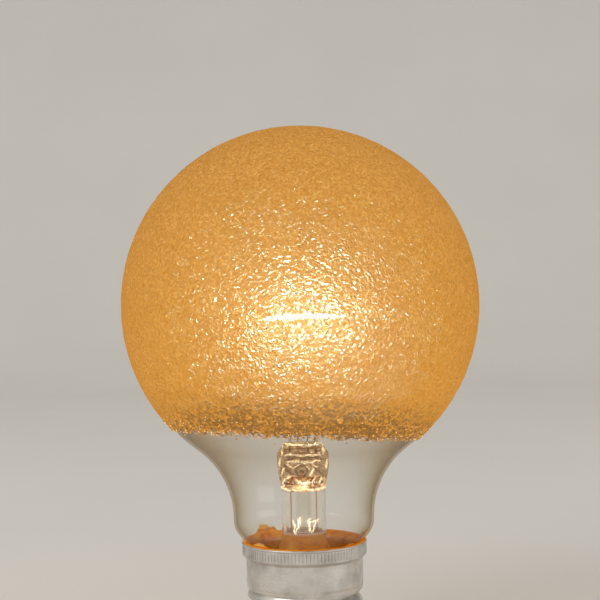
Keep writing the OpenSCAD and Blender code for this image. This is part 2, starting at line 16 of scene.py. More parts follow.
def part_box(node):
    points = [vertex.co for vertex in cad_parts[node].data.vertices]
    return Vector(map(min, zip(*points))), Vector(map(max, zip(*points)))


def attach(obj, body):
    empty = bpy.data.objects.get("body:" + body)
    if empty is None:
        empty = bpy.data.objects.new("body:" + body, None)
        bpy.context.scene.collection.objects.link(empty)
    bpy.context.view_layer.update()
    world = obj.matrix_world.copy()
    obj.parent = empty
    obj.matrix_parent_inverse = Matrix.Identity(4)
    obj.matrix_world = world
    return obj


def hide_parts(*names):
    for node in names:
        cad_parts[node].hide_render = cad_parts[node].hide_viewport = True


bl_info = {
    "name": "Lit Globe Bulb",
    "version": (1, 0, 0),
    "blender": (4, 5, 0),
    "location": "View3D > Sidebar > Globe Bulb",
    "description": "Makes the coat, glass, cap, cement, wires and stage of a lit globe bulb",
    "category": "Object",
}

MM = 0.001
TURN = 2 * math.pi

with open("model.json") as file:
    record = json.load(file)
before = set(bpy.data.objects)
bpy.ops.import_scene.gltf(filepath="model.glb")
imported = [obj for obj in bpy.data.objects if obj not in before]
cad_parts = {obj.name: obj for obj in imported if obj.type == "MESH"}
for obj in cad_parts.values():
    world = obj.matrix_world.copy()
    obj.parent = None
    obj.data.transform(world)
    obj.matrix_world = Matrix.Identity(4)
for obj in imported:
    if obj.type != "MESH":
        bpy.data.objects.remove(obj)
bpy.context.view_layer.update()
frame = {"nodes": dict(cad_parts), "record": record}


# Sizes read from the frame


def points_of(node):
    """The vertices of a CAD node as an array, in metres."""
    mesh = frame["nodes"][node].data
    points = np.zeros(len(mesh.vertices) * 3)
    mesh.vertices.foreach_get("co", points)
    return points.reshape(-1, 3)


def outer_sphere(node):
    """Centre height and radius of the sphere through a node's top and its lowest outer point."""
    points = points_of(node)
    top = points[:, 2].max()
    low = points[points[:, 2].argmin()]
    drop = top - low[2]
    radius = (drop**2 + low[0] ** 2 + low[1] ** 2) / (2 * drop)
    return top - radius, radius


def outline_of(node):
    """Heights and outer radii of a turned node, from its lowest ring to its highest."""
    points = points_of(node)
    heights = np.round(points[:, 2], 6)
    radii = np.hypot(points[:, 0], points[:, 1])
    levels = np.unique(heights)
    return levels, np.array([radii[heights == level].max() for level in levels])


def edge_plane(node, sectors=36):
    """Middle height and slopes along X and Y of a node's lower edge."""
    points = points_of(node)
    sector = ((np.arctan2(points[:, 1], points[:, 0]) / TURN + 1) * sectors).astype(int) % sectors
    lows = [points[sector == k][points[sector == k][:, 2].argmin()] for k in range(sectors)]
    lows = np.array(lows)
    system = np.column_stack((np.ones(sectors), lows[:, :2]))
    return np.linalg.lstsq(system, lows[:, 2], rcond=None)[0]


COAT_CENTRE, COAT_R = outer_sphere("frost_coat")
EDGE_MIDDLE, EDGE_X, EDGE_Y = edge_plane("frost_coat")
EDGE_R = math.sqrt(COAT_R**2 - (COAT_CENTRE - EDGE_MIDDLE) ** 2)
GLASS_HEIGHTS, GLASS_RADII = outline_of("glass_envelope")
PRESS_H = 10.6 * MM
PRESS_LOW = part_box("stem_flare")[1].z - PRESS_H
CAP_LOW, CAP_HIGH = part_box("cap_shell")
SKIRT_MOUNT = next(m for m in frame["record"]["mounts"] if m["name"] == "screw_cap")
SKIRT_R = SKIRT_MOUNT["dims"]["r_mm"] * MM
SKIRT_LEN = SKIRT_MOUNT["dims"]["length_mm"] * MM
SKIRT_Z = SKIRT_MOUNT["pos_m"][2] - SKIRT_LEN / 2
SKIRT_LOW = SKIRT_Z - SKIRT_LEN / 2
RIM_LEN = 0.6 * MM
BAND_LEN = 2.4 * MM
BELT_ABOVE = 6 * MM
BELT_BELOW = 2.2 * MM


# Settings that a user would change


class CoatSettings(bpy.types.PropertyGroup):
    """The granular coat on the globe."""

    thickness: FloatProperty(
        name="Thickness", default=0.3 * MM, unit="LENGTH",
        description="Thickness of the coat between its inner and its outer skin")
    wave_size: FloatProperty(
        name="Wave Size", default=2.2 * MM, unit="LENGTH",
        description="Width of the coat's soft undulations")
    wave_height: FloatProperty(
        name="Wave Height", default=0.1 * MM, unit="LENGTH",
        description="Height of the soft undulations")
    grain_size: FloatProperty(
        name="Grain Size", default=0.55 * MM, unit="LENGTH",
        description="Width of one grain in the middle of the globe")
    grain_height: FloatProperty(
        name="Grain Height", default=0.35 * MM, unit="LENGTH",
        description="Depth of the creases between the grains")
    edge_rag: FloatProperty(
        name="Edge Raggedness", default=0.35 * MM, unit="LENGTH",
        description="How far the lower edge wanders up and down")
    loose_grains: IntProperty(
        name="Loose Grains", default=3200,
        description="Coarse grains scattered round the lower edge")
    # The band's darkness is painted shade; its coarser waves are real relief.
    border_width: FloatProperty(
        name="Border Width", default=13 * MM, unit="LENGTH",
        description="Width of the darker, coarser band above the lower edge")
    clearness: FloatProperty(
        name="Clearness", default=0.13, subtype="FACTOR",
        description="Share of the light from inside that the grains only bend")
    bend_height: FloatProperty(
        name="Bend Height", default=0.6 * MM, unit="LENGTH",
        description="Depth of the relief that bends the coil's light into glints")
    glint_size: FloatProperty(
        name="Glint Size", default=0.8 * MM, unit="LENGTH",
        description="Distance between the winding creases that let the coil's light through")
    glow: FloatVectorProperty(
        name="Glow", default=(0.39, 0.158, 0.009), subtype="COLOR",
        description="Light that the grains send out when the bulb is lit")
    body: FloatVectorProperty(
        name="Body", default=(0.3, 0.15, 0.03), subtype="COLOR",
        description="Colour of the grains themselves")


class GlassSettings(bpy.types.PropertyGroup):
    """The blown envelope and the pressed stem."""

    clear: FloatVectorProperty(
        name="Clear", default=(0.985, 0.98, 0.968), subtype="COLOR",
        description="Colour seen straight through one wall")
    rim_tint_and_reflected_glow: FloatVectorProperty(
        # Partly real and partly painted: darker at a glancing angle from the longer path through the wall,
        # and gold as a painted reflection of the coat's glow.
        name="Rim", default=(0.56, 0.42, 0.18), subtype="COLOR",
        description="Colour seen through a wall at a glancing angle")
    stem: FloatVectorProperty(
        name="Stem", default=(0.99, 0.975, 0.94), subtype="COLOR",
        description="Tint of the pressed stem glass")


class FilamentSettings(bpy.types.PropertyGroup):
    """The glowing coil."""

    hot: FloatVectorProperty(
        name="Hot", default=(1.0, 0.9, 0.88), subtype="COLOR",
        description="Light of the coil's middle")
    cool: FloatVectorProperty(
        name="Cool", default=(1.0, 0.55, 0.2), subtype="COLOR",
        description="Light of the coil's ends at the leads")
    strength: FloatProperty(
        name="Strength", default=85.0,
        description="Brightness of the coil's middle")
    end_share: FloatProperty(
        name="End Share", default=0.45, subtype="FACTOR",
        description="Brightness of the coil's ends as a share of its middle's")
    hot_spot: FloatProperty(
        name="Hot Spot", default=1.2 * MM, unit="LENGTH",
        description="Place of the hottest turn, to the right of the bulb's axis")


class CapSettings(bpy.types.PropertyGroup):
    """The rolled screw shell and the contact below it."""

    wall: FloatProperty(
        name="Wall", default=0.3 * MM, unit="LENGTH",
        description="Thickness of the sheet")
    crest_diameter: FloatProperty(
        name="Crest Diameter", default=26.2 * MM, unit="LENGTH",
        description="Diameter over the thread's crests")
    pitch: FloatProperty(
        name="Pitch", default=3.629 * MM, unit="LENGTH",
        description="Rise of the thread in one turn")
    thread_depth: FloatProperty(
        name="Thread Depth", default=1.1 * MM, unit="LENGTH",
        description="Depth of the thread from crest to root")
    rib_count: IntProperty(
        name="Ribs", default=108,
        description="Ribs rolled round the band below the rim")
    rib_depth: FloatProperty(
        name="Rib Depth", default=0.15 * MM, unit="LENGTH",
        description="Height of the ribs")
    metal: FloatVectorProperty(
        name="Metal", default=(0.75, 0.72, 0.67), subtype="COLOR",
        description="Colour of the plated sheet")


class StageSettings(bpy.types.PropertyGroup):
    """Floor, light and camera."""

    floor: FloatVectorProperty(
        name="Floor", default=(0.74, 0.715, 0.67), subtype="COLOR",
        description="Colour of the floor and the backdrop")
    sky: FloatProperty(
        name="Sky", default=0.7,
        description="Strength of the even light from all sides")
    key: FloatProperty(
        name="Key", default=2.6, unit="POWER",
        description="Power of the large soft lamp at the left")
    fill: FloatProperty(
        name="Fill", default=1.0, unit="POWER",
        description="Power of the soft lamp at the right")
    distance: FloatProperty(
        name="Camera Distance", default=300 * MM, unit="LENGTH",
        description="Distance of the camera from the bulb's axis")
    height: FloatProperty(
        name="Camera Height", default=80.4 * MM, unit="LENGTH",
        description="Height of the camera above the centre contact")
    lens: FloatProperty(
        name="Lens", default=79.3,
        description="Focal length in millimetres for a sensor 36 mm wide")
    roll: FloatProperty(
        name="Roll", default=math.radians(1.05), subtype="ANGLE",
        description="Roll of the camera, which leans the bulb to the left")


SETTINGS = {
    "globe_bulb_coat": CoatSettings,
    "globe_bulb_glass": GlassSettings,
    "globe_bulb_filament": FilamentSettings,
    "globe_bulb_cap": CapSettings,
    "globe_bulb_stage": StageSettings,
}


# Node trees


def put(tree, kind, sockets=None, **fields):
    """Adds a node, sets its fields, and fills its sockets with values or links."""
    node = tree.nodes.new(kind)
    for name, value in fields.items():
        setattr(node, name, value)
    for name, value in (sockets or {}).items():
        if isinstance(value, bpy.types.NodeSocket):
            tree.links.new(value, node.inputs[name])
        else:
            node.inputs[name].default_value = value
    return node


def maths(tree, operation, *values):
    """A Math node's result."""
    return put(tree, "ShaderNodeMath", dict(enumerate(values)), operation=operation).outputs[0]


def times(tree, first, second):
    """The product of two numbers."""
    return maths(tree, "MULTIPLY", first, second)


def plus(tree, first, second):
    """The sum of two numbers."""
    return maths(tree, "ADD", first, second)


def minus(tree, first, second):
    """The first number less the second."""
    return maths(tree, "SUBTRACT", first, second)


def over(tree, first, second):
    """The first number divided by the second."""
    return maths(tree, "DIVIDE", first, second)


def vector_maths(tree, operation, *values, output=0, **sockets):
    """A Vector Math node's result: its vector, or its number with output 1."""
    sockets = {**dict(enumerate(values)), **sockets}
    return put(tree, "ShaderNodeVectorMath", sockets, operation=operation).outputs[output]


def apart(tree, place):
    """The X, Y and Z of a vector."""
    return put(tree, "ShaderNodeSeparateXYZ", {0: place}).outputs


def opaque(colour):
    """A colour with full alpha."""
    return (*colour, 1.0)


def dimmed(colour, share):
    """A colour darkened to a share of itself."""
    return [c * share for c in colour]


def ramp(tree, factor, *stops):
    """A colour ramp's result, from (place, colour) pairs."""
    node = put(tree, "ShaderNodeValToRGB", {0: factor})
    while len(node.color_ramp.elements) < len(stops):
        node.color_ramp.elements.new(0.5)
    for element, (place, colour) in zip(node.color_ramp.elements, stops):
        element.position = place
        element.color = opaque(colour)
    return node.outputs[0]


def blended(tree, factor, first, second):
    """A mix of two colours."""
    return put(tree, "ShaderNodeMix", {0: factor, 6: first, 7: second}, data_type="RGBA").outputs[2]


def spread(tree, value, low, high, low_to=0.0, high_to=1.0, smooth=False):
    """A value mapped from one range to another and held inside it."""
    sockets = {0: value, 1: low, 2: high, 3: low_to, 4: high_to}
    kind = "SMOOTHSTEP" if smooth else "LINEAR"
    return put(tree, "ShaderNodeMapRange", sockets, interpolation_type=kind).outputs[0]


def surface_place(tree, scale=(1, 1, 1)):
    """Object coordinates, scaled."""
    place = put(tree, "ShaderNodeTexCoord").outputs["Object"]
    return put(tree, "ShaderNodeMapping", {"Vector": place, "Scale": scale}).outputs[0]


def noise_at(tree, place, size, detail=2.0, roughness=0.5):
    """Noise with features about as wide as size, in metres."""
    sockets = {"Vector": place, "Scale": 1 / size, "Detail": detail, "Roughness": roughness}
    return put(tree, "ShaderNodeTexNoise", sockets).outputs[0]


def bumped(tree, height, distance, strength=1.0, under=None):
    """A normal from a height, on top of another bump if one is given."""
    sockets = {"Height": height, "Distance": distance, "Strength": strength}
    if under is not None:
        sockets["Normal"] = under
    return put(tree, "ShaderNodeBump", sockets).outputs[0]


def blank_material(name):
    """An empty material and its tree."""
    material = bpy.data.materials.new(name)
    material.use_nodes = True
    material.node_tree.nodes.clear()
    return material, material.node_tree


def shown(material, shader):
    """The material, with a shader sent to its surface."""
    put(material.node_tree, "ShaderNodeOutputMaterial", {"Surface": shader.outputs[0]})
    return material


def principled(tree, **sockets):
    """The main shader, with socket names written with underscores."""
    named = {name.replace("_", " "): value for name, value in sockets.items()}
    return put(tree, "ShaderNodeBsdfPrincipled", named)


def mixed(tree, factor, first, second):
    """A mix of two shaders."""
    sockets = {0: factor, 1: first.outputs[0], 2: second.outputs[0]}
    return put(tree, "ShaderNodeMixShader", sockets)


# Finishes


def random_cells(tree, place, size):
    """Distance to the nearest cell's middle and two random values for each cell."""
    cells = put(tree, "ShaderNodeTexVoronoi", {"Vector": place, "Scale": 1 / size})
    parts = put(tree, "ShaderNodeSeparateColor", {0: cells.outputs["Color"]}).outputs
    return cells.outputs["Distance"], parts[0], parts[1]


def coat_finish(coat):
    """Translucent grains: they glow golden and bend the coil's light into glints."""
    material, tree = blank_material("granular_coat")
    place = surface_place(tree)
    gap = put(tree, "ShaderNodeAttribute", attribute_name="edge_gap").outputs["Fac"]
    # Painted shade: a darker band above the lower edge, strongest at the front and the back and fading
    # towards the left and right sides.
    border = spread(tree, gap, 0.0, coat.border_width, 1.0, 0.0)
    across = maths(tree, "ABSOLUTE", apart(tree, place)[0])
    shade_side_fade = spread(tree, across, 0.3 * COAT_R, 0.8 * COAT_R, 1.0, 0.2)
    border = times(tree, border, shade_side_fade)
    worms = noise_at(tree, place, coat.grain_size, 1.0, 0.4)
    distance, _, _ = random_cells(tree, place, coat.grain_size * 1.2)
    steep = spread(tree, noise_at(tree, place, 0.8 * MM, 1.0), 0.3, 0.75)
    patches = maths(tree, "MULTIPLY_ADD", maths(tree, "POWER", steep, 2.0), 2.0, 0.7)
    height = minus(tree, worms, times(tree, distance, 0.4))
    relief = times(tree, height, patches)
    normal = bumped(tree, relief, coat.grain_height)
    bent = bumped(tree, relief, coat.bend_height)
    _, tone, chance = random_cells(tree, place, 0.55 * MM)
    # Painted shade: the glow darkens in the border band, with a few brighter painted specks among the grains.
    border_shade_specks = times(tree, minus(tree, tone, 0.88), times(tree, border, 1.85))
    # Painted light and shade: the glow is brighter on the grains' crests and darker in their creases, rising
    # to a pale painted highlight on the brightest.
    crest = spread(tree, height, 0.05, 0.6)
    lit = plus(tree, times(tree, crest, 0.25), plus(tree, border_shade_specks, 0.4))
    glow = ramp(
        tree,
        lit,
        (0.0, dimmed(coat.glow, 0.2)),
        (0.4, dimmed(coat.glow, 0.9)),
        (0.65, dimmed(coat.glow, 1.1)),
        (1.0, (1.0, 0.62, 0.25)),
    )
    # Painted shade: the grains' colour darkens in the creases and in the border band.
    shaded = maths(tree, "MULTIPLY_ADD", border, -0.5, crest)
    body = ramp(tree, shaded, (0.0, dimmed(coat.body, 0.8)), (0.6, coat.body))
    coil = Vector((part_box("filament")[0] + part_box("filament")[1]) / 2)
    away = vector_maths(tree, "DISTANCE", place, coil, output=1)
    # Painted light: the glow weakens with the square of the distance from the coil.
    coil_light_falloff = maths(tree, "POWER", over(tree, COAT_R, away), 2.0)
    grains = principled(
        tree,
        Base_Color=body,
        Roughness=0.7,
        Specular_IOR_Level=0.3,
        Transmission_Weight=0.5,
        Emission_Color=glow,
        Emission_Strength=coil_light_falloff,
        Normal=normal,
    )
    bending = put(
        tree,
        "ShaderNodeBsdfRefraction",
        {"Color": (0.65, 0.95, 0.95, 1), "Roughness": 0.25, "IOR": 1.5, "Normal": bent},
    )
    clear = put(tree, "ShaderNodeBsdfTransparent")
    ridges = noise_at(tree, place, coat.glint_size, 1.0)
    winding = maths(tree, "ABSOLUTE", minus(tree, ridges, 0.5))
    broken = spread(tree, noise_at(tree, place, 0.9 * coat.glint_size, 0.0), 0.35, 0.6, 0.3, 1.4, True)
    flecks = times(tree, spread(tree, winding, 0.0, 0.12, 3.5, 0.15, True), broken)
    clearness = times(tree, spread(tree, border, 0.0, 0.8, coat.clearness, 0.0), flecks)
    glints = put(tree, "ShaderNodeMixShader", {0: clearness, 2: bending.outputs[0]})
    shell = put(tree, "ShaderNodeAddShader", {0: grains.outputs[0], 1: glints.outputs[0]})
    worn = maths(tree, "GREATER_THAN", chance, spread(tree, gap, -0.2 * MM, 1.6 * MM))
    shown(material, mixed(tree, maths(tree, "MAXIMUM", worn, 0.05), shell, clear))
    material.cycles.emission_sampling = "NONE"
    material.cycles.use_bump_map_correction = False
    return material


def lining_finish():
    """The coat's inner skin, where it meets the glass: nothing shows there."""
    material, tree = blank_material("coat_lining")
    return shown(material, put(tree, "ShaderNodeBsdfTransparent"))


def glancing(tree, power, normal=None):
    """Zero where a surface faces the eye, rising to one at its outline."""
    sockets = {"Blend": 0.5}
    if normal is not None:
        sockets["Normal"] = normal
    facing = put(tree, "ShaderNodeLayerWeight", sockets).outputs["Facing"]
    return maths(tree, "POWER", facing, power)


def envelope_finish(glass):
    """A thin clear wall: it darkens and mirrors at a glancing angle, and turns gold there as a painted
    reflection of the coat's glow.
    """
    material, tree = blank_material("blown_glass")
    waves = noise_at(tree, surface_place(tree, (1, 1, 0.4)), 9 * MM, 1.0)
    ripple = bumped(tree, waves, 0.25 * MM, 0.4)
    # Painted reflection: the glancing tint is gold like the coat's glow.
    tint = ramp(tree, glancing(tree, 3.0), (0.0, glass.clear), (1.0, glass.rim_tint_and_reflected_glow))
    clear = put(tree, "ShaderNodeBsdfTransparent", {"Color": tint})
    gloss = principled(tree, Base_Color=(1, 1, 1, 1), Metallic=1.0, Roughness=0.04, Normal=ripple)
    mirror = spread(tree, glancing(tree, 5.0, ripple), 0.0, 1.0, 0.025, 0.5)
    return shown(material, mixed(tree, mirror, clear, gloss))


def near_line(tree, place, mark):
    """One on a straight mark, fading beside it."""
    x0, z0, x1, z1, half_width = (value * MM for value in mark)
    start, span = Vector((x0, 0, z0)), Vector((x1 - x0, 0, z1 - z0))
    off = vector_maths(tree, "SUBTRACT", place, start)
    step = span / span.length_squared
    along = vector_maths(tree, "DOT_PRODUCT", off, step, output=1)
    along = spread(tree, along, 0.0, 1.0)
    foot = vector_maths(tree, "SCALE", span, Scale=along)
    away = vector_maths(tree, "DISTANCE", off, foot, output=1)
    return spread(tree, away, 0.3 * half_width, half_width, 1.0, 0.0, True)


def near_ring(tree, place, mark):
    """One on a ring, fading beside it."""
    x, z, radius, half_width = (value * MM for value in mark)
    middle = Vector((x, 0, z))
    away = vector_maths(tree, "DISTANCE", place, middle, output=1)
    away = maths(tree, "ABSOLUTE", minus(tree, away, radius))
    return spread(tree, away, 0.3 * half_width, half_width, 1.0, 0.0, True)


def drawn_marks(tree, place, lines, rings=()):
    """The strongest of several marks at each place."""
    strongest = near_line(tree, place, lines[0])
    for near, marks in ((near_line, lines[1:]), (near_ring, rings)):
        for mark in marks:
            strongest = maths(tree, "MAXIMUM", strongest, near(tree, place, mark))
    return strongest


# Painted highlights and painted shade along the press's ripples and painted reflections of the coil in its
# tube, in millimetres from the press's lower edge:
# x and z of a line's two ends and its half width, or x and z of a ring's middle, its radius and half width
PAINTED_HIGHLIGHT_LINES = (
    (-4.1, 10.2, -1.2, 9.9, 0.35), (-1.2, 10.0, 4.1, 10.3, 0.3), (-4.4, 9.8, -4.9, 8.0, 0.2),
    (4.3, 9.9, 4.7, 8.2, 0.2), (-3.9, 7.9, -0.5, 7.7, 0.25), (-0.5, 7.6, 4.2, 7.9, 0.3),
    (-3.7, 6.2, -1.0, 6.6, 0.3), (-0.2, 6.1, 3.7, 6.5, 0.3), (-5.2, 7.4, -5.2, 5.4, 0.3),
    (5.5, 6.8, 5.4, 5.0, 0.35), (-3.6, 5.5, -2.3, 4.8, 0.25), (2.2, 5.6, 3.4, 5.0, 0.25),
    (-5.0, 0.6, -3.2, 0.2, 0.35), (-3.2, 0.2, 0.2, 0.7, 0.35), (0.2, 0.7, 3.2, 0.2, 0.35),
    (3.2, 0.2, 4.9, 0.7, 0.35), (-1.6, 2.1, -0.2, 1.2, 0.25), (-0.2, 1.2, 1.5, 1.7, 0.25),
    (1.5, 3.0, 2.4, 4.4, 0.25), (-4.7, 3.7, -4.1, 4.7, 0.2), (-4.4, 1.2, -4.2, 2.4, 0.25),
    (-4.2, 2.4, -3.1, 2.8, 0.2), (3.9, 1.1, 4.1, 2.5, 0.25), (2.2, 1.3, 2.5, 2.7, 0.25),
    (-1.9, 4.9, -0.9, 5.5, 0.2), (0.6, 5.3, 1.4, 4.6, 0.2),
)
PAINTED_SHADE_LINES = (
    (-3.5, 7.2, 3.8, 7.2, 0.35), (-3.4, 6.8, 3.5, 6.75, 0.2), (-1.3, 9.2, 2.4, 9.1, 0.7),
    (-4.0, 8.7, -2.2, 8.8, 0.5), (-2.4, 3.4, -2.8, 2.0, 0.45), (2.0, 2.4, 1.6, 1.2, 0.35),
    (3.0, 8.7, 4.0, 8.9, 0.5), (-4.2, 5.6, -3.2, 3.4, 0.45), (3.2, 4.2, 4.2, 3.2, 0.5),
    (-3.6, 1.7, -3.3, 1.3, 0.4), (3.2, 1.7, 3.1, 1.1, 0.4), (-1.2, 3.0, -0.4, 2.6, 0.45),
)
PAINTED_SHADE_RINGS = ((-0.3, 3.9, 1.2, 0.5), (-0.3, 3.8, 0.2, 0.45))
TUBE_REFLECTION_LINES = (
    (-2.4, -6.6, -1.9, -9.3, 0.22), (-0.9, -6.5, -1.6, -9.1, 0.2), (0.8, -7.0, 2.7, -6.6, 0.18),
    (2.8, -6.7, 1.7, -9.3, 0.22), (1.0, -7.1, 1.2, -9.0, 0.18),
)


def cement_noise(tree, place):
    """Clouds and specks of the cement."""
    return noise_at(tree, place, 2.4 * MM, 4.0, 0.6), noise_at(tree, place, 0.25 * MM, 3.0, 0.7)


def cement_colour(tree, share=1.0):
    """Brown resin and stone flour, darkened to a share as painted shade."""
    clouds, specks = cement_noise(tree, surface_place(tree))
    blend = plus(tree, times(tree, clouds, 0.65), times(tree, specks, 0.35))
    tones = (0.62, 0.19, 0.01), (1.0, 0.39, 0.02), (1.0, 0.62, 0.12)
    dark, middle, light = (dimmed(tone, share) for tone in tones)
    return ramp(tree, blend, (0.34, dark), (0.5, middle), (0.66, light))


def stem_finish(glass):
    """Solid pressed glass with painted highlights and painted shade where the jaws closed, painted
    reflections of the coil in its tube, and a darkened copy of the cement's colour as painted shade at its
    foot, over the cement.
    """
    material, tree = blank_material("pressed_glass")
    place = surface_place(tree)
    _, depth, height = apart(tree, place)
    pressed = spread(tree, height, PRESS_LOW - 0.2 * MM, PRESS_LOW + 0.3 * MM, 0.0, 1.0, True)
    sockets = {"Vector": place, "Scale": 0.55 / MM, "Detail": 3.0}
    wander = put(tree, "ShaderNodeTexNoise", sockets).outputs["Color"]
    shift = Vector((-0.9, 0, -0.9)) * MM - Vector((0, 0, PRESS_LOW))
    flat = vector_maths(tree, "MULTIPLY_ADD", place, (1, 0, 1), shift)
    swing = (1.8 * MM, 0, 1.8 * MM)
    bent = vector_maths(tree, "MULTIPLY_ADD", wander, swing, flat)
    # Painted highlights: the press glows in bright lines where the coil's light is caught in its ripples.
    painted_highlights = drawn_marks(tree, bent, PAINTED_HIGHLIGHT_LINES)
    # Painted shade along dark lines and rings on the press.
    dark = drawn_marks(tree, bent, PAINTED_SHADE_LINES, PAINTED_SHADE_RINGS)
    # Painted reflections of the coil: bright streaks on the front of the tube below the press.
    streaks = times(tree, drawn_marks(tree, bent, TUBE_REFLECTION_LINES), maths(tree, "LESS_THAN", depth, 0.0))
    painted_glints = maths(tree, "MAXIMUM", times(tree, painted_highlights, pressed), streaks)
    painted_glints = times(tree, painted_glints, spread(tree, noise_at(tree, place, 0.7 * MM), 0.4, 0.6, 0.35, 1.0))
    lumps = noise_at(tree, place, 1.8 * MM, 2.0)
    # Painted shade: clouds of darker tint over the press.
    shade_clouds = spread(tree, lumps, 0.42, 0.62, 0.0, 0.4, True)
    shade = times(tree, maths(tree, "MAXIMUM", dark, shade_clouds), pressed)
    shade = maths(tree, "MAXIMUM", shade, times(tree, pressed, 0.4))
    # Painted shade: the glass is tinted dark amber along the shade marks and a little darker all over the
    # press.
    tint = ramp(tree, shade, (0.0, glass.stem), (0.3, (0.8, 0.58, 0.32)), (1.0, (0.36, 0.17, 0.05)))
    foot = spread(tree, height, CAP_HIGH.z + 1.4 * MM, CAP_HIGH.z + 2.6 * MM, 1.0, 0.0, True)
    # Painted shade: the foot shows a darkened copy of the cement's colour.
    tint = blended(tree, foot, tint, cement_colour(tree, 0.6))
    relief = times(tree, lumps, pressed)
    body = principled(
        tree,
        Base_Color=tint,
        Roughness=spread(tree, foot, 0.0, 1.0, 0.02, 0.7),
        IOR=1.55,
        Transmission_Weight=minus(tree, 1.0, foot),
        Emission_Color=(1.0, 0.84, 0.58, 1),
        Emission_Strength=times(tree, painted_glints, 0.95),
        Normal=bumped(tree, relief, 0.45 * MM),
    )
    clear = put(tree, "ShaderNodeBsdfTransparent", {"Color": opaque(glass.clear)})
    shadow = put(tree, "ShaderNodeLightPath").outputs["Is Shadow Ray"]
    return shown(material, mixed(tree, shadow, body, clear))


def coil_finish(filament, half_span):
    """Tungsten that glows, hottest in the middle."""
    material, tree = blank_material("glowing_tungsten")
    place = surface_place(tree)
    across = minus(tree, apart(tree, place)[0], filament.hot_spot)
    away = over(tree, maths(tree, "ABSOLUTE", across), half_span)
    heat = spread(tree, away, 0.1, 0.9, 1.0, filament.end_share, True)
    uneven = times(tree, noise_at(tree, place, 1.5 * MM), 0.12)
    light = ramp(tree, plus(tree, away, uneven), (0.8, filament.hot), (1.0, filament.cool))
    coil = principled(
        tree,
        Base_Color=(0.3, 0.28, 0.26, 1),
        Metallic=1.0,
        Roughness=0.5,
        Emission_Color=light,
        Emission_Strength=times(tree, heat, filament.strength),
    )
    return shown(material, coil)


def wire_finish(name, colour, roughness):
    """Drawn wire with fine streaks along its length."""
    material, tree = blank_material(name)
    streaks = noise_at(tree, surface_place(tree, (1, 1, 0.12)), 0.16 * MM, 2.0, 0.6)
    tone = ramp(tree, streaks, (0.3, dimmed(colour, 0.72)), (0.7, colour))
    rough = spread(tree, streaks, 0.3, 0.7, roughness * 0.8, roughness * 1.3)
    normal = bumped(tree, streaks, 0.02 * MM, 0.5)
    return shown(material, principled(tree, Base_Color=tone, Metallic=1.0, Roughness=rough, Normal=normal))


def sheet_finish(cap):
    """Plated sheet: rolling lines round the axis, dull patches, and painted shade in the thread's grooves and
    between the ribs.
    """
    material, tree = blank_material("rolled_sheet")
    lines = noise_at(tree, surface_place(tree, (0.25, 0.25, 6)), 1.2 * MM, 4.0, 0.6)
    patches = noise_at(tree, surface_place(tree), 5 * MM, 4.0, 0.6)
    groove = put(tree, "ShaderNodeAttribute", attribute_name="groove").outputs["Fac"]
    # Painted shade: the stored groove value darkens the thread's roots and the gaps between the ribs.
    groove_shade = spread(tree, groove, 0.3, 1.0, 0.0, 0.34)
    dull_and_shaded = minus(tree, patches, groove_shade)
    tone = ramp(
        tree,
        dull_and_shaded,
        (0.1, dimmed(cap.metal, 0.4)),
        (0.38, dimmed(cap.metal, 0.76)),
        (0.62, cap.metal),
    )
    rough = spread(tree, plus(tree, lines, dull_and_shaded), 0.5, 1.3, 0.5, 0.22)
    normal = bumped(tree, lines, 0.03 * MM, 0.35)
    return shown(material, principled(tree, Base_Color=tone, Metallic=1.0, Roughness=rough, Normal=normal))


def vitreous_finish():
    """Black glass, poured and glossy, with a slight flow."""
    material, tree = blank_material("black_vitrite")
    place = surface_place(tree)
    flow = noise_at(tree, place, 2.5 * MM, 3.0)
    tone = ramp(tree, flow, (0.3, (0.012, 0.011, 0.013)), (0.75, (0.045, 0.038, 0.045)))
    pits = random_cells(tree, place, 0.9 * MM)[0]
    rough = spread(tree, pits, 0.05, 0.3, 0.32, 0.1)
    normal = bumped(tree, flow, 0.2 * MM, 0.5)
    return shown(material, principled(tree, Base_Color=tone, Roughness=rough, Normal=normal, Coat_Weight=0.4))


def brass_finish():
    """Stamped brass with ring marks and light tarnish."""
    material, tree = blank_material("stamped_brass")
    place = surface_place(tree)
    tarnish = noise_at(tree, place, 1.8 * MM, 4.0, 0.6)
    tone = ramp(tree, tarnish, (0.3, (0.42, 0.27, 0.1)), (0.62, (0.78, 0.56, 0.25)))
    marks = noise_at(tree, surface_place(tree, (1, 6, 1)), 0.8 * MM, 3.0)
    rough = spread(tree, marks, 0.3, 0.7, 0.22, 0.42)
    normal = bumped(tree, marks, 0.02 * MM, 0.5)
    return shown(material, principled(tree, Base_Color=tone, Metallic=1.0, Roughness=rough, Normal=normal))


def solder_finish():
    """Dull tin solder with a crinkled skin."""
    material, tree = blank_material("tin_solder")
    place = surface_place(tree)
    crinkle = noise_at(tree, place, 0.7 * MM, 4.0, 0.65)
    tone = ramp(tree, crinkle, (0.3, (0.36, 0.36, 0.37)), (0.7, (0.66, 0.66, 0.68)))
    rough = spread(tree, crinkle, 0.3, 0.7, 0.28, 0.5)
    normal = bumped(tree, crinkle, 0.12 * MM, 0.6)
    return shown(material, principled(tree, Base_Color=tone, Metallic=1.0, Roughness=rough, Normal=normal))


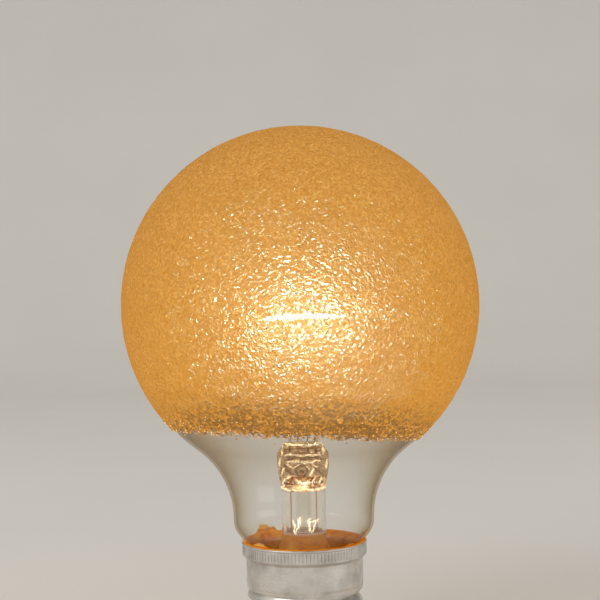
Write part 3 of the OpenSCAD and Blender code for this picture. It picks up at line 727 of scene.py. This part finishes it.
def cement_finish():
    """Baked capping cement: brown resin and stone flour, torn at its edge, with its raised flakes lighter as
    painted light from the coil.
    """
    material, tree = blank_material("baked_cement")
    place = surface_place(tree)
    clouds, specks = cement_noise(tree, place)
    grit = bumped(tree, specks, 0.1 * MM, 0.8)
    normal = bumped(tree, clouds, 0.3 * MM, 0.5, under=grit)
    rough = spread(tree, specks, 0.3, 0.7, 0.6, 0.9)
    # Painted light: the flakes that rise above the cap's mouth are painted lighter where the coil's light
    # falls on them.
    flake_light = spread(tree, apart(tree, place)[2], CAP_HIGH.z + 0.2 * MM, CAP_HIGH.z + 1.2 * MM)
    tone = blended(tree, flake_light, cement_colour(tree), (1.0, 0.58, 0.16, 1))
    cement = principled(tree, Base_Color=tone, Roughness=rough, Specular_IOR_Level=0.25, Normal=normal)
    return shown(material, cement)


def sweep_finish(stage):
    """A plain pale sweep with a faint mottle."""
    material, tree = blank_material("pale_sweep")
    mottle = noise_at(tree, surface_place(tree), 120 * MM, 3.0)
    tone = ramp(tree, mottle, (0.3, dimmed(stage.floor, 0.97)), (0.7, stage.floor))
    return shown(material, principled(tree, Base_Color=tone, Roughness=0.85, Specular_IOR_Level=0.2))


# Meshes


def new_piece(name, mesh):
    """A new object for a mesh, at the origin."""
    piece = bpy.data.objects.new(name, mesh)
    bpy.context.scene.collection.objects.link(piece)
    return piece


def on_ring(direction, radius, height):
    """A point in one direction from the axis."""
    return Vector((radius * math.cos(direction), radius * math.sin(direction), height))


def grid_faces(rows, columns, first=0, closed=False):
    """Quads of a grid whose columns run round the axis, for rows that go down and may close up."""
    return [
        (
            first + row * columns + column,
            first + (row + 1) % rows * columns + column,
            first + (row + 1) % rows * columns + (column + 1) % columns,
            first + row * columns + (column + 1) % columns,
        )
        for row in range(rows if closed else rows - 1)
        for column in range(columns)
    ]


def new_mesh(name, points, faces, smooth=True):
    """A mesh from its points and faces."""
    mesh = bpy.data.meshes.new(name)
    mesh.from_pydata(points, [], faces)
    if smooth:
        mesh.shade_smooth()
    return mesh


def set_values(mesh, name, values):
    """Writes a value for each vertex."""
    attribute = mesh.attributes.new(name, "FLOAT", "POINT")
    attribute.data.foreach_set("value", np.array(values, np.float32))


def finished(piece):
    """Turns a piece's modifiers into plain mesh."""
    depsgraph = bpy.context.evaluated_depsgraph_get()
    mesh = bpy.data.meshes.new_from_object(piece.evaluated_get(depsgraph), depsgraph=depsgraph)
    piece.modifiers.clear()
    old = piece.data
    piece.data = mesh
    bpy.data.meshes.remove(old)
    return piece


def node_modifier(piece, tree, **inputs):
    """Puts a geometry tree on a piece and sets its named inputs."""
    modifier = piece.modifiers.new(tree.name, "NODES")
    modifier.node_group = tree
    for item in tree.interface.items_tree:
        if item.item_type == "SOCKET" and item.in_out == "INPUT" and item.name in inputs:
            modifier[item.identifier] = inputs[item.name]
    return modifier


def smooth_copy(node, name, sharp_angle=math.radians(35)):
    """A copy of a CAD node with its corners merged and its curved sides shaded smooth."""
    mesh = frame["nodes"][node].data.copy()
    mesh.name = name
    work = bmesh.new()
    work.from_mesh(mesh)
    bmesh.ops.remove_doubles(work, verts=work.verts, dist=0.001 * MM)
    bmesh.ops.dissolve_degenerate(work, edges=work.edges, dist=0.0005 * MM)
    work.to_mesh(mesh)
    work.free()
    if mesh.has_custom_normals:
        mesh.attributes.remove(mesh.attributes["custom_normal"])
    mesh.materials.clear()
    mesh.shade_smooth()
    mesh.set_sharp_from_angle(angle=sharp_angle)
    return new_piece(name, mesh)


def dress(piece, *materials):
    """Gives a piece its materials."""
    piece.data.materials.clear()
    for material in materials:
        piece.data.materials.append(material)


def dress_node(node, material):
    """Gives a CAD node that stays a better material."""
    for slot in frame["nodes"][node].material_slots:
        slot.material = material


# The coat


def edge_angle(coat, direction):
    """Polar angle of the coat's ragged lower edge, in one direction round the axis."""
    slope = EDGE_X * math.cos(direction) + EDGE_Y * math.sin(direction)
    plane = (EDGE_MIDDLE - COAT_CENTRE) / (COAT_R * math.hypot(1, slope))
    around = Vector((math.cos(direction), math.sin(direction), 0)) * 3
    rag = noise.noise(around) + 0.7 * noise.noise(around * 6) + 0.6 * noise.noise(around * 20)
    return math.acos(plane) - math.atan(slope) + (rag - 0.6) * coat.edge_rag / COAT_R


def coat_skin(coat, columns=480, rings=184, lining_rings=12):
    """The coat as one closed skin: down the outside, round the edge and up the inside."""
    inner_r = COAT_R - coat.thickness
    edges = [edge_angle(coat, TURN * column / columns) for column in range(columns)]
    points = [Vector((0, 0, COAT_CENTRE + COAT_R))]
    outer, border = [1.0], [0.0]
    levels = [(ring / rings, COAT_R, 1.0) for ring in range(1, rings + 1)]
    levels += [(ring / lining_rings, inner_r, 0.0) for ring in range(lining_rings, 0, -1)]
    for share, radius, side in levels:
        for column in range(columns):
            direction = TURN * column / columns
            polar = edges[column] * share
            height = COAT_CENTRE + radius * math.cos(polar)
            points.append(on_ring(direction, radius * math.sin(polar), height))
            outer.append(side)
            border.append((edges[column] - polar) * radius)
    points.append(Vector((0, 0, COAT_CENTRE + inner_r)))
    outer.append(0.0)
    border.append(0.1)
    border[0] = 0.1
    last = len(points) - 1
    faces = [(0, 1 + column, 1 + (column + 1) % columns) for column in range(columns)]
    faces += grid_faces(len(levels), columns, 1)
    end = last - columns
    faces += [(last, end + (column + 1) % columns, end + column) for column in range(columns)]
    mesh = new_mesh("granular_coat", points, faces)
    set_values(mesh, "outer", outer)
    set_values(mesh, "edge_gap", border)
    return mesh


def geometry_tree(name, sockets):
    """A geometry tree with a Geometry input and output and named number inputs."""
    tree = bpy.data.node_groups.new(name, "GeometryNodeTree")
    tree.interface.new_socket("Geometry", in_out="INPUT", socket_type="NodeSocketGeometry")
    tree.interface.new_socket("Geometry", in_out="OUTPUT", socket_type="NodeSocketGeometry")
    for label, kind in sockets.items():
        tree.interface.new_socket(label, in_out="INPUT", socket_type=kind)
    start = put(tree, "NodeGroupInput").outputs
    end = put(tree, "NodeGroupOutput").inputs
    return tree, start, end


def named_value(tree, name):
    """A float attribute of the geometry."""
    return put(tree, "GeometryNodeInputNamedAttribute", {"Name": name}, data_type="FLOAT").outputs[0]


def stored(tree, geometry, name, value):
    """The geometry with a value written for each point."""
    sockets = {"Geometry": geometry, "Name": name, "Value": value}
    node = put(tree, "GeometryNodeStoreNamedAttribute", sockets, data_type="FLOAT", domain="POINT")
    return node.outputs[0]


def stepped(tree, kind, geometry, **sockets):
    """The geometry after one more node."""
    named = {name.replace("_", " "): value for name, value in sockets.items()}
    return put(tree, kind, {"Geometry": geometry, **named}).outputs[0]


def coat_tree(shell, lining):
    """Raises soft waves and grains on the coat's outer skin and thins it to its edge."""
    number = "NodeSocketFloat"
    names = ("Wave Size", "Wave Height", "Border Width", "Edge Taper")
    tree, start, end = geometry_tree("coat_grains", {name: number for name in names})
    place = put(tree, "GeometryNodeInputPosition").outputs[0]
    outer = named_value(tree, "outer")
    gap = named_value(tree, "edge_gap")
    scale = over(tree, 1.0, start["Wave Size"])
    sockets = {"Vector": place, "Scale": scale, "Detail": 3.0, "Roughness": 0.55}
    waves = put(tree, "ShaderNodeTexNoise", sockets).outputs[0]
    sockets = {"Vector": place, "Scale": times(tree, scale, 1.3)}
    cells = put(tree, "ShaderNodeTexVoronoi", sockets).outputs["Distance"]
    dome = minus(tree, 1.0, cells)
    height = plus(tree, times(tree, waves, 1.2), times(tree, dome, 0.8))
    border = spread(tree, over(tree, gap, start["Border Width"]), 0.0, 1.0, 1.0, 0.0, True)
    taper = spread(tree, over(tree, gap, start["Edge Taper"]), 0.0, 1.0, 0.25, 1.0, True)
    rise = times(tree, minus(tree, height, 1.1), start["Wave Height"])
    rise = times(tree, rise, plus(tree, 1.0, border))
    rise = times(tree, times(tree, rise, taper), outer)
    along = put(tree, "GeometryNodeInputNormal").outputs[0]
    offset = vector_maths(tree, "SCALE", along, Scale=rise)
    inside = maths(tree, "LESS_THAN", outer, 0.5)
    geometry = stepped(tree, "GeometryNodeSetPosition", start["Geometry"], Offset=offset)
    geometry = stepped(tree, "GeometryNodeRealizeInstances", geometry)
    geometry = stepped(tree, "GeometryNodeSetMaterial", geometry, Material=shell)
    geometry = stepped(tree, "GeometryNodeSetMaterial", geometry, Selection=inside, Material=lining)
    tree.links.new(geometry, end[0])
    return tree


def grain_belt(coat, columns=240, rows=18, above=BELT_ABOVE, below=BELT_BELOW):
    """A strip on the coat and the glass round the lower edge, which the loose grains sit on."""
    points, nearness = [], []
    for row in range(rows):
        gap = above - (above + below) * row / (rows - 1)
        for column in range(columns):
            direction = TURN * column / columns
            polar = edge_angle(coat, direction) - gap / COAT_R
            radius = COAT_R - (0 if gap > 0 else coat.thickness)
            height = COAT_CENTRE + radius * math.cos(polar)
            flat = radius * math.sin(polar)
            if gap < 0:
                flat = glass_r(height)
            points.append(on_ring(direction, flat, height))
            fade = (above - gap) / above if gap > 0 else (1 + gap / below) ** 3 * 0.35
            nearness.append(min(1.0, fade * 1.3))
    mesh = new_mesh("loose_grains", points, grid_faces(rows, columns), smooth=False)
    set_values(mesh, "nearness", nearness)
    return mesh


def grain_tree(material):
    """Scatters flattened grains on a belt, closer together where it says."""
    sockets = {"Density": "NodeSocketFloat", "Grain Radius": "NodeSocketFloat", "Seed": "NodeSocketInt"}
    tree, start, end = geometry_tree("loose_grains", sockets)
    density = times(tree, start["Density"], named_value(tree, "nearness"))
    spots = put(
        tree,
        "GeometryNodeDistributePointsOnFaces",
        {"Mesh": start["Geometry"], "Density": density, "Seed": start["Seed"]},
        distribute_method="RANDOM",
    )
    ball = put(tree, "GeometryNodeMeshIcoSphere", {"Radius": start["Grain Radius"], "Subdivisions": 1})
    size = put(
        tree,
        "FunctionNodeRandomValue",
        {0: (0.5, 0.5, 0.4), 1: (1.3, 1.2, 0.9), "Seed": start["Seed"]},
        data_type="FLOAT_VECTOR",
    )
    turn = put(tree, "FunctionNodeRandomValue", {2: 0.0, 3: TURN, "Seed": start["Seed"]}, data_type="FLOAT")
    spun = put(
        tree,
        "FunctionNodeRotateRotation",
        {
            "Rotation": spots.outputs["Rotation"],
            "Rotate By": put(tree, "ShaderNodeCombineXYZ", {2: turn.outputs[1]}).outputs[0],
        },
        rotation_space="LOCAL",
    )
    grains = put(
        tree,
        "GeometryNodeInstanceOnPoints",
        {
            "Points": spots.outputs["Points"],
            "Instance": ball.outputs[0],
            "Rotation": spun.outputs[0],
            "Scale": size.outputs[0],
        },
    )
    geometry = stepped(tree, "GeometryNodeRealizeInstances", grains.outputs[0])
    geometry = stepped(tree, "GeometryNodeSetShadeSmooth", geometry, Shade_Smooth=True)
    geometry = stepped(tree, "GeometryNodeSetMaterial", geometry, Material=material)
    tree.links.new(geometry, end[0])
    return tree


def grain_finish(coat):
    """Single coarse grains that glow against the clear glass."""
    material, tree = blank_material("coarse_grain")
    place = surface_place(tree)
    tone = noise_at(tree, place, 0.6 * MM, 1.0)
    glow = ramp(tree, tone, (0.4, dimmed(coat.glow, 0.25)), (0.52, coat.glow), (0.62, (0.95, 0.62, 0.26)))
    normal = bumped(tree, noise_at(tree, place, 0.2 * MM), 0.05 * MM)
    body = principled(
        tree,
        Base_Color=opaque(coat.body),
        Roughness=0.25,
        Emission_Color=glow,
        Emission_Strength=1.0,
        Normal=normal,
    )
    shown(material, body)
    material.cycles.emission_sampling = "NONE"
    return material


# The cap


def shell_profile(cap, steps=132):
    """Heights and radii of the plain shell before rolling, from the rim down to the nose."""
    rim_r = (CAP_HIGH.x - CAP_LOW.x) / 2
    crest_r = cap.crest_diameter / 2
    low, high = CAP_LOW.z, CAP_HIGH.z
    cone_len = 0.8 * MM
    nose_r, nose_slope = 10.4 * MM, 2.8 / 3.85
    band_r = rim_r - 0.25 * MM
    curl = 0.12 * MM
    corners = [
        (high, rim_r - curl),
        (high - curl, rim_r),
        (high - RIM_LEN + 2 * curl, rim_r),
        (high - RIM_LEN, band_r),
        (high - RIM_LEN - BAND_LEN, band_r),
        (high - RIM_LEN - BAND_LEN - cone_len, SKIRT_R),
        (SKIRT_LOW, SKIRT_R),
        (SKIRT_LOW - 0.6 * MM, crest_r),
        (low + (crest_r - nose_r) / nose_slope, crest_r),
        (low, nose_r),
    ]
    heights = [c[0] for c in corners]
    radii = [c[1] for c in corners]
    rows = sorted(set(list(np.linspace(low, high, steps)) + heights), reverse=True)
    return [(z, float(np.interp(z, heights[::-1], radii[::-1]))) for z in rows]


def shell_skin(cap, columns=432):
    """The rim, the outside and the inside of the shell as one closed skin."""
    profile = shell_profile(cap)
    inner = [(z, r - cap.wall) for z, r in profile[::-3]]
    inner.append((CAP_HIGH.z, profile[0][1] - cap.wall))
    rows = profile + inner
    points = [on_ring(TURN * c / columns, r, z) for z, r in rows for c in range(columns)]
    mesh = new_mesh("rolled_shell", points, grid_faces(len(rows), columns, closed=True))
    insets = [0.0] * (len(profile) * columns) + [cap.wall] * (len(inner) * columns)
    set_values(mesh, "inset", insets)
    return mesh


def rolling_tree(material):
    """Rolls the thread into the shell and presses the ribs into its band."""
    numbers = (
        "Crest Radius", "Pitch", "Thread Depth", "Thread Bottom", "Thread Top",
        "Rib Count", "Rib Depth", "Band Bottom", "Band Top",
    )
    tree, start, end = geometry_tree("shell_rolling", {name: "NodeSocketFloat" for name in numbers})
    place = apart(tree, put(tree, "GeometryNodeInputPosition").outputs[0])
    around = maths(tree, "ARCTAN2", place[1], place[0])
    squares = [times(tree, place[axis], place[axis]) for axis in (0, 1)]
    radius = maths(tree, "SQRT", plus(tree, *squares))
    climb = over(tree, minus(tree, place[2], start["Thread Bottom"]), start["Pitch"])
    phase = minus(tree, around, times(tree, climb, TURN))
    groove = times(tree, minus(tree, 1.0, maths(tree, "COSINE", phase)), 0.5)
    groove = times(tree, groove, start["Thread Depth"])
    fade = over(tree, minus(tree, place[2], start["Thread Top"]), start["Thread Depth"])
    plain = spread(tree, fade, -1.3, 0.1, 0.0, 1.0, True)
    crest = minus(tree, start["Crest Radius"], named_value(tree, "inset"))
    rolled = minus(tree, crest, groove)
    rolled = plus(tree, rolled, times(tree, plain, 0.01))
    rolled = maths(tree, "SMOOTH_MIN", radius, rolled, 0.25 * MM)
    bottom, top, run_out = start["Band Bottom"], start["Band Top"], 0.3 * MM
    into_band = spread(tree, place[2], bottom, plus(tree, bottom, run_out))
    out_of_band = spread(tree, place[2], minus(tree, top, run_out), top, 1.0, 0.0)
    ribs = maths(tree, "COSINE", times(tree, around, start["Rib Count"]))
    ribs = times(tree, times(tree, into_band, out_of_band), ribs)
    ribs = times(tree, ribs, times(tree, start["Rib Depth"], 0.75))
    wanted = plus(tree, rolled, ribs)
    shade = over(tree, minus(tree, crest, rolled), start["Thread Depth"])
    between_ribs = over(tree, ribs, times(tree, start["Rib Depth"], -0.75))
    shade = maths(tree, "MAXIMUM", shade, between_ribs)
    stretch = over(tree, wanted, radius)
    moved = {0: times(tree, place[0], stretch), 1: times(tree, place[1], stretch), 2: place[2]}
    moved = put(tree, "ShaderNodeCombineXYZ", moved).outputs[0]
    # The groove attribute carries painted shade for the thread's roots and the gaps between the ribs.
    geometry = stored(tree, start["Geometry"], "groove", shade)
    geometry = stepped(tree, "GeometryNodeSetPosition", geometry, Position=moved)
    geometry = stepped(tree, "GeometryNodeRealizeInstances", geometry)
    geometry = stepped(tree, "GeometryNodeSetMaterial", geometry, Material=material)
    tree.links.new(geometry, end[0])
    return tree


# The cement

# Direction and half width of each flake in degrees, and its share of the full height
TORN_FLAKES = (
    (132, 17, 0.95), (8, 11, 0.95), (104, 12, 0.45),
    (196, 9, 0.45), (224, 12, 0.65), (318, 7, 0.35),
)


def glass_r(height):
    """Outer radius of the envelope at a height."""
    return float(np.interp(height, GLASS_HEIGHTS, GLASS_RADII))


def flake_height(direction):
    """Share of a flake's full height that the torn cement reaches in one direction."""
    around = Vector((math.cos(direction), math.sin(direction), 0))
    height = 0.06 + 0.07 * noise.noise(around * 9)
    for middle, half_width, share in TORN_FLAKES:
        off = (math.degrees(direction) - middle + 180) % 360 - 180
        off = abs(off / half_width + 0.35 * noise.noise(around * 14))
        height = max(height, share * (1 - min(off, 1.0) ** 1.6))
    return height + 0.05 * noise.noise(around * 60)


def cement_section(direction, low, full_rise, shell_inside):
    """Radii and heights round the cement's cut face, in one direction round the axis."""
    around = Vector((math.cos(direction), math.sin(direction), 0))
    skin, flake = 0.04 * MM, 0.16 * MM
    mouth, rim_r = CAP_HIGH.z, CAP_HIGH.x
    top = mouth + skin + full_rise * max(flake_height(direction), 0.0)
    glass = [(glass_r(z) + skin, z) for z in np.linspace(low, mouth, 6)]
    climb = [(glass_r(z) + skin, z) for z in np.linspace(mouth, top, 7)[1:]]
    back = []
    for r, z in climb[::-1]:
        above = (z - mouth) / (top - mouth)
        curl = 0.12 * (top - mouth) * above * (1 - 0.7 * above)
        crumb = 0.06 * MM * noise.noise(Vector((around.x * 30, around.y * 30, z / MM * 2)))
        back.append((r + flake + curl + crumb, z))
    lip_r = rim_r - 0.22 * MM + 0.16 * MM * noise.noise(around * 11) + 0.06 * MM * noise.noise(around * 40)
    lip_z = mouth + 0.06 * MM + 0.03 * MM * noise.noise(around * 25)
    foot_r = min(back[-1][0] + 0.03 * MM, lip_r - 0.05 * MM)
    lip = [(foot_r, lip_z), ((foot_r + lip_r) / 2, lip_z + 0.02 * MM), (lip_r, lip_z - 0.01 * MM)]
    lip.append((lip_r, mouth + 0.012 * MM))
    inside = [(shell_inside(z), z) for z in np.linspace(mouth, low, 12)]
    return glass + climb + back + lip + inside


def cement_ring(cap, columns=360):
    """Cement squeezed out between the neck and the cap, with torn flakes up the glass."""
    low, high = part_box("capping_cement")
    profile = shell_profile(cap)[::-1]
    heights, radii = [z for z, _ in profile], [r - cap.wall - 0.03 * MM for _, r in profile]
    band_r = radii[-10]

    def shell_inside(z):
        """Radius that the cement fills at a height, no wider than the ribbed band."""
        return min(np.interp(z, heights, radii), band_r)

    directions = [TURN * column / columns for column in range(columns)]
    sections = [cement_section(a, low.z, high.z - CAP_HIGH.z, shell_inside) for a in directions]
    rows = len(sections[0])
    points = [on_ring(a, *s[row]) for row in range(rows) for s, a in zip(sections, directions)]
    return new_mesh("torn_cement", points, grid_faces(rows, columns, closed=True))


# Operators


class GLOBEBULB_OT_coat(bpy.types.Operator):
    """Makes the granular coat and the loose grains round its lower edge"""

    bl_idname = "globe_bulb.coat"
    bl_label = "Granular Coat"

    def execute(self, context):
        coat = context.scene.globe_bulb_coat
        shell, lining = coat_finish(coat), lining_finish()
        piece = new_piece("granular_coat", coat_skin(coat))
        inputs = {
            "Wave Size": coat.wave_size,
            "Wave Height": coat.wave_height,
            "Border Width": coat.border_width,
            "Edge Taper": 0.8 * MM,
        }
        node_modifier(piece, coat_tree(shell, lining), **inputs)
        finished(piece)
        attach(piece, "root")
        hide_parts("frost_coat")
        belt = new_piece("loose_grains", grain_belt(coat))
        area = TURN * EDGE_R * (BELT_ABOVE + BELT_BELOW)
        inputs = {"Density": coat.loose_grains / area, "Grain Radius": 0.17 * MM, "Seed": 7}
        node_modifier(belt, grain_tree(grain_finish(coat)), **inputs)
        finished(belt)
        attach(belt, "root")
        return {"FINISHED"}


class GLOBEBULB_OT_glass(bpy.types.Operator):
    """Finishes the blown envelope, the pressed stem and the exhaust tube"""

    bl_idname = "globe_bulb.glass"
    bl_label = "Glass"

    def execute(self, context):
        glass = context.scene.globe_bulb_glass
        dress_node("glass_envelope", envelope_finish(glass))
        pressed = stem_finish(glass)
        for node in ("stem_flare", "exhaust_tube"):
            dress_node(node, pressed)
        return {"FINISHED"}


class GLOBEBULB_OT_filament(bpy.types.Operator):
    """Makes the glowing coil"""

    bl_idname = "globe_bulb.filament"
    bl_label = "Filament"

    def execute(self, context):
        low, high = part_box("filament")
        coil = smooth_copy("filament", "coiled_filament", math.radians(80))
        dress(coil, coil_finish(context.scene.globe_bulb_filament, (high.x - low.x) / 2))
        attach(coil, "root")
        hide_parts("filament")
        return {"FINISHED"}


class GLOBEBULB_OT_wires(bpy.types.Operator):
    """Makes the round leads, supports and fuse from the plain swept wires"""

    bl_idname = "globe_bulb.wires"
    bl_label = "Wires"

    def execute(self, context):
        nickel = wire_finish("nickel_wire", (0.62, 0.6, 0.56), 0.3)
        moly = wire_finish("molybdenum_wire", (0.42, 0.41, 0.4), 0.42)
        copper = wire_finish("copper_wire", (0.72, 0.4, 0.22), 0.32)
        swept = {
            "inner_lead_left": (nickel, "nickel_wire"),
            "inner_lead_right": (nickel, "nickel_wire"),
            "support_wire_left": (moly, "molybdenum_wire"),
            "support_wire_right": (moly, "molybdenum_wire"),
            "outer_lead_left": (copper, "copper_wire"),
            "fuse_link": (nickel, "nickel_wire"),
        }
        for node, (material, slot) in swept.items():
            wire = smooth_copy(node, "round_" + node, math.radians(80))
            dress(wire, material)
            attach(wire, "root")
            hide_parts(node)
        for node in ("seal_wire_left", "seal_wire_right", "outer_lead_right"):
            dress_node(node, copper)
        return {"FINISHED"}


class GLOBEBULB_OT_cap(bpy.types.Operator):
    """Rolls the screw shell and finishes the contact below it"""

    bl_idname = "globe_bulb.cap"
    bl_label = "Screw Cap"

    def execute(self, context):
        cap = context.scene.globe_bulb_cap
        piece = new_piece("rolled_shell", shell_skin(cap))
        inputs = {
            "Crest Radius": cap.crest_diameter / 2,
            "Pitch": cap.pitch,
            "Thread Depth": cap.thread_depth,
            "Thread Bottom": CAP_LOW.z,
            "Thread Top": SKIRT_LOW,
            "Rib Count": float(cap.rib_count),
            "Rib Depth": cap.rib_depth,
            "Band Bottom": CAP_HIGH.z - RIM_LEN - BAND_LEN,
            "Band Top": CAP_HIGH.z - RIM_LEN,
        }
        node_modifier(piece, rolling_tree(sheet_finish(cap)), **inputs)
        finished(piece)
        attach(piece, "root")
        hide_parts("cap_shell")
        dress_node("cap_insulator", vitreous_finish())
        dress_node("contact_plate", brass_finish())
        solder = solder_finish()
        dress_node("contact_solder", solder)
        dress_node("side_solder", solder)
        return {"FINISHED"}


class GLOBEBULB_OT_cement(bpy.types.Operator):
    """Makes the torn capping cement between the neck and the cap"""

    bl_idname = "globe_bulb.cement"
    bl_label = "Capping Cement"

    def execute(self, context):
        piece = new_piece("torn_cement", cement_ring(context.scene.globe_bulb_cap))
        dress(piece, cement_finish())
        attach(piece, "root")
        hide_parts("capping_cement")
        return {"FINISHED"}


class GLOBEBULB_OT_stage(bpy.types.Operator):
    """Makes the floor, the backdrop, the lamps and the camera"""

    bl_idname = "globe_bulb.stage"
    bl_label = "Stage"

    def execute(self, context):
        stage = context.scene.globe_bulb_stage
        context.scene.view_settings.view_transform = "Standard"
        self.sweep(stage)
        self.lamps(stage)
        self.camera(context.scene, stage)
        return {"FINISHED"}

    def sweep(self, stage, width=9.0, front=-4.0, back=0.9, bend=0.6, steps=24):
        """Floor and backdrop in one curved sheet."""
        line = [(front, 0.0), (back, 0.0)]
        line += [
            (back + bend * math.sin(a), bend - bend * math.cos(a))
            for a in (math.pi / 2 * k / steps for k in range(1, steps + 1))
        ]
        line.append((back + bend, 2.4))
        points = [Vector((x, y, z)) for y, z in line for x in (-width / 2, width / 2)]
        faces = [(2 * k, 2 * k + 1, 2 * k + 3, 2 * k + 2) for k in range(len(line) - 1)]
        piece = new_piece("pale_sweep", new_mesh("pale_sweep", points, faces))
        dress(piece, sweep_finish(stage))

    def lamps(self, stage):
        """An even sky and two soft lamps."""
        world = bpy.data.worlds.new("even_sky")
        world.use_nodes = True
        sky = world.node_tree.nodes["Background"]
        sky.inputs["Color"].default_value = (1.0, 0.985, 0.96, 1)
        sky.inputs["Strength"].default_value = stage.sky
        bpy.context.scene.world = world
        middle = Vector((0, 0, 60 * MM))
        for name, power, size, place in (
            ("key_lamp", stage.key, 0.5, Vector((-0.62, -0.55, 0.6))),
            ("fill_lamp", stage.fill, 0.5, Vector((0.75, -0.3, 0.25))),
        ):
            light = bpy.data.lights.new(name, "AREA")
            light.energy = power
            light.size = size
            lamp = bpy.data.objects.new(name, light)
            lamp.location = place
            lamp.rotation_euler = (middle - place).to_track_quat("-Z", "Y").to_euler()
            bpy.context.scene.collection.objects.link(lamp)

    def camera(self, scene, stage):
        """A level camera in front of the globe, rolled a little."""
        data = bpy.data.cameras.new("camera")
        data.lens = stage.lens
        data.sensor_width = 36
        data.clip_start = 0.01
        camera = bpy.data.objects.new("camera", data)
        camera.location = (0, -stage.distance, stage.height)
        camera.rotation_euler = (math.pi / 2, stage.roll, 0)
        scene.collection.objects.link(camera)
        scene.camera = camera


class GLOBEBULB_PT_panel(bpy.types.Panel):
    """Lists the steps that make the bulb and their settings"""

    bl_idname = "GLOBEBULB_PT_panel"
    bl_label = "Globe Bulb"
    bl_space_type = "VIEW_3D"
    bl_region_type = "UI"
    bl_category = "Globe Bulb"

    def draw(self, context):
        layout = self.layout
        for operator in OPERATORS:
            layout.operator(operator.bl_idname)
        for name, settings in SETTINGS.items():
            box = layout.box()
            group = getattr(context.scene, name)
            for field in settings.__annotations__:
                box.prop(group, field)


OPERATORS = (
    GLOBEBULB_OT_stage,
    GLOBEBULB_OT_glass,
    GLOBEBULB_OT_filament,
    GLOBEBULB_OT_wires,
    GLOBEBULB_OT_cap,
    GLOBEBULB_OT_cement,
    GLOBEBULB_OT_coat,
)
CLASSES = (*SETTINGS.values(), *OPERATORS, GLOBEBULB_PT_panel)


def register():
    for item in CLASSES:
        bpy.utils.register_class(item)
    for name, settings in SETTINGS.items():
        setattr(bpy.types.Scene, name, PointerProperty(type=settings))


def unregister():
    for name in SETTINGS:
        delattr(bpy.types.Scene, name)
    for item in reversed(CLASSES):
        bpy.utils.unregister_class(item)


def main():
    register()
    bpy.ops.globe_bulb.stage()
    bpy.ops.globe_bulb.glass()
    bpy.ops.globe_bulb.filament()
    bpy.ops.globe_bulb.wires()
    bpy.ops.globe_bulb.cap()
    bpy.ops.globe_bulb.cement()
    bpy.ops.globe_bulb.coat()


if __name__ == "__main__":
    main()
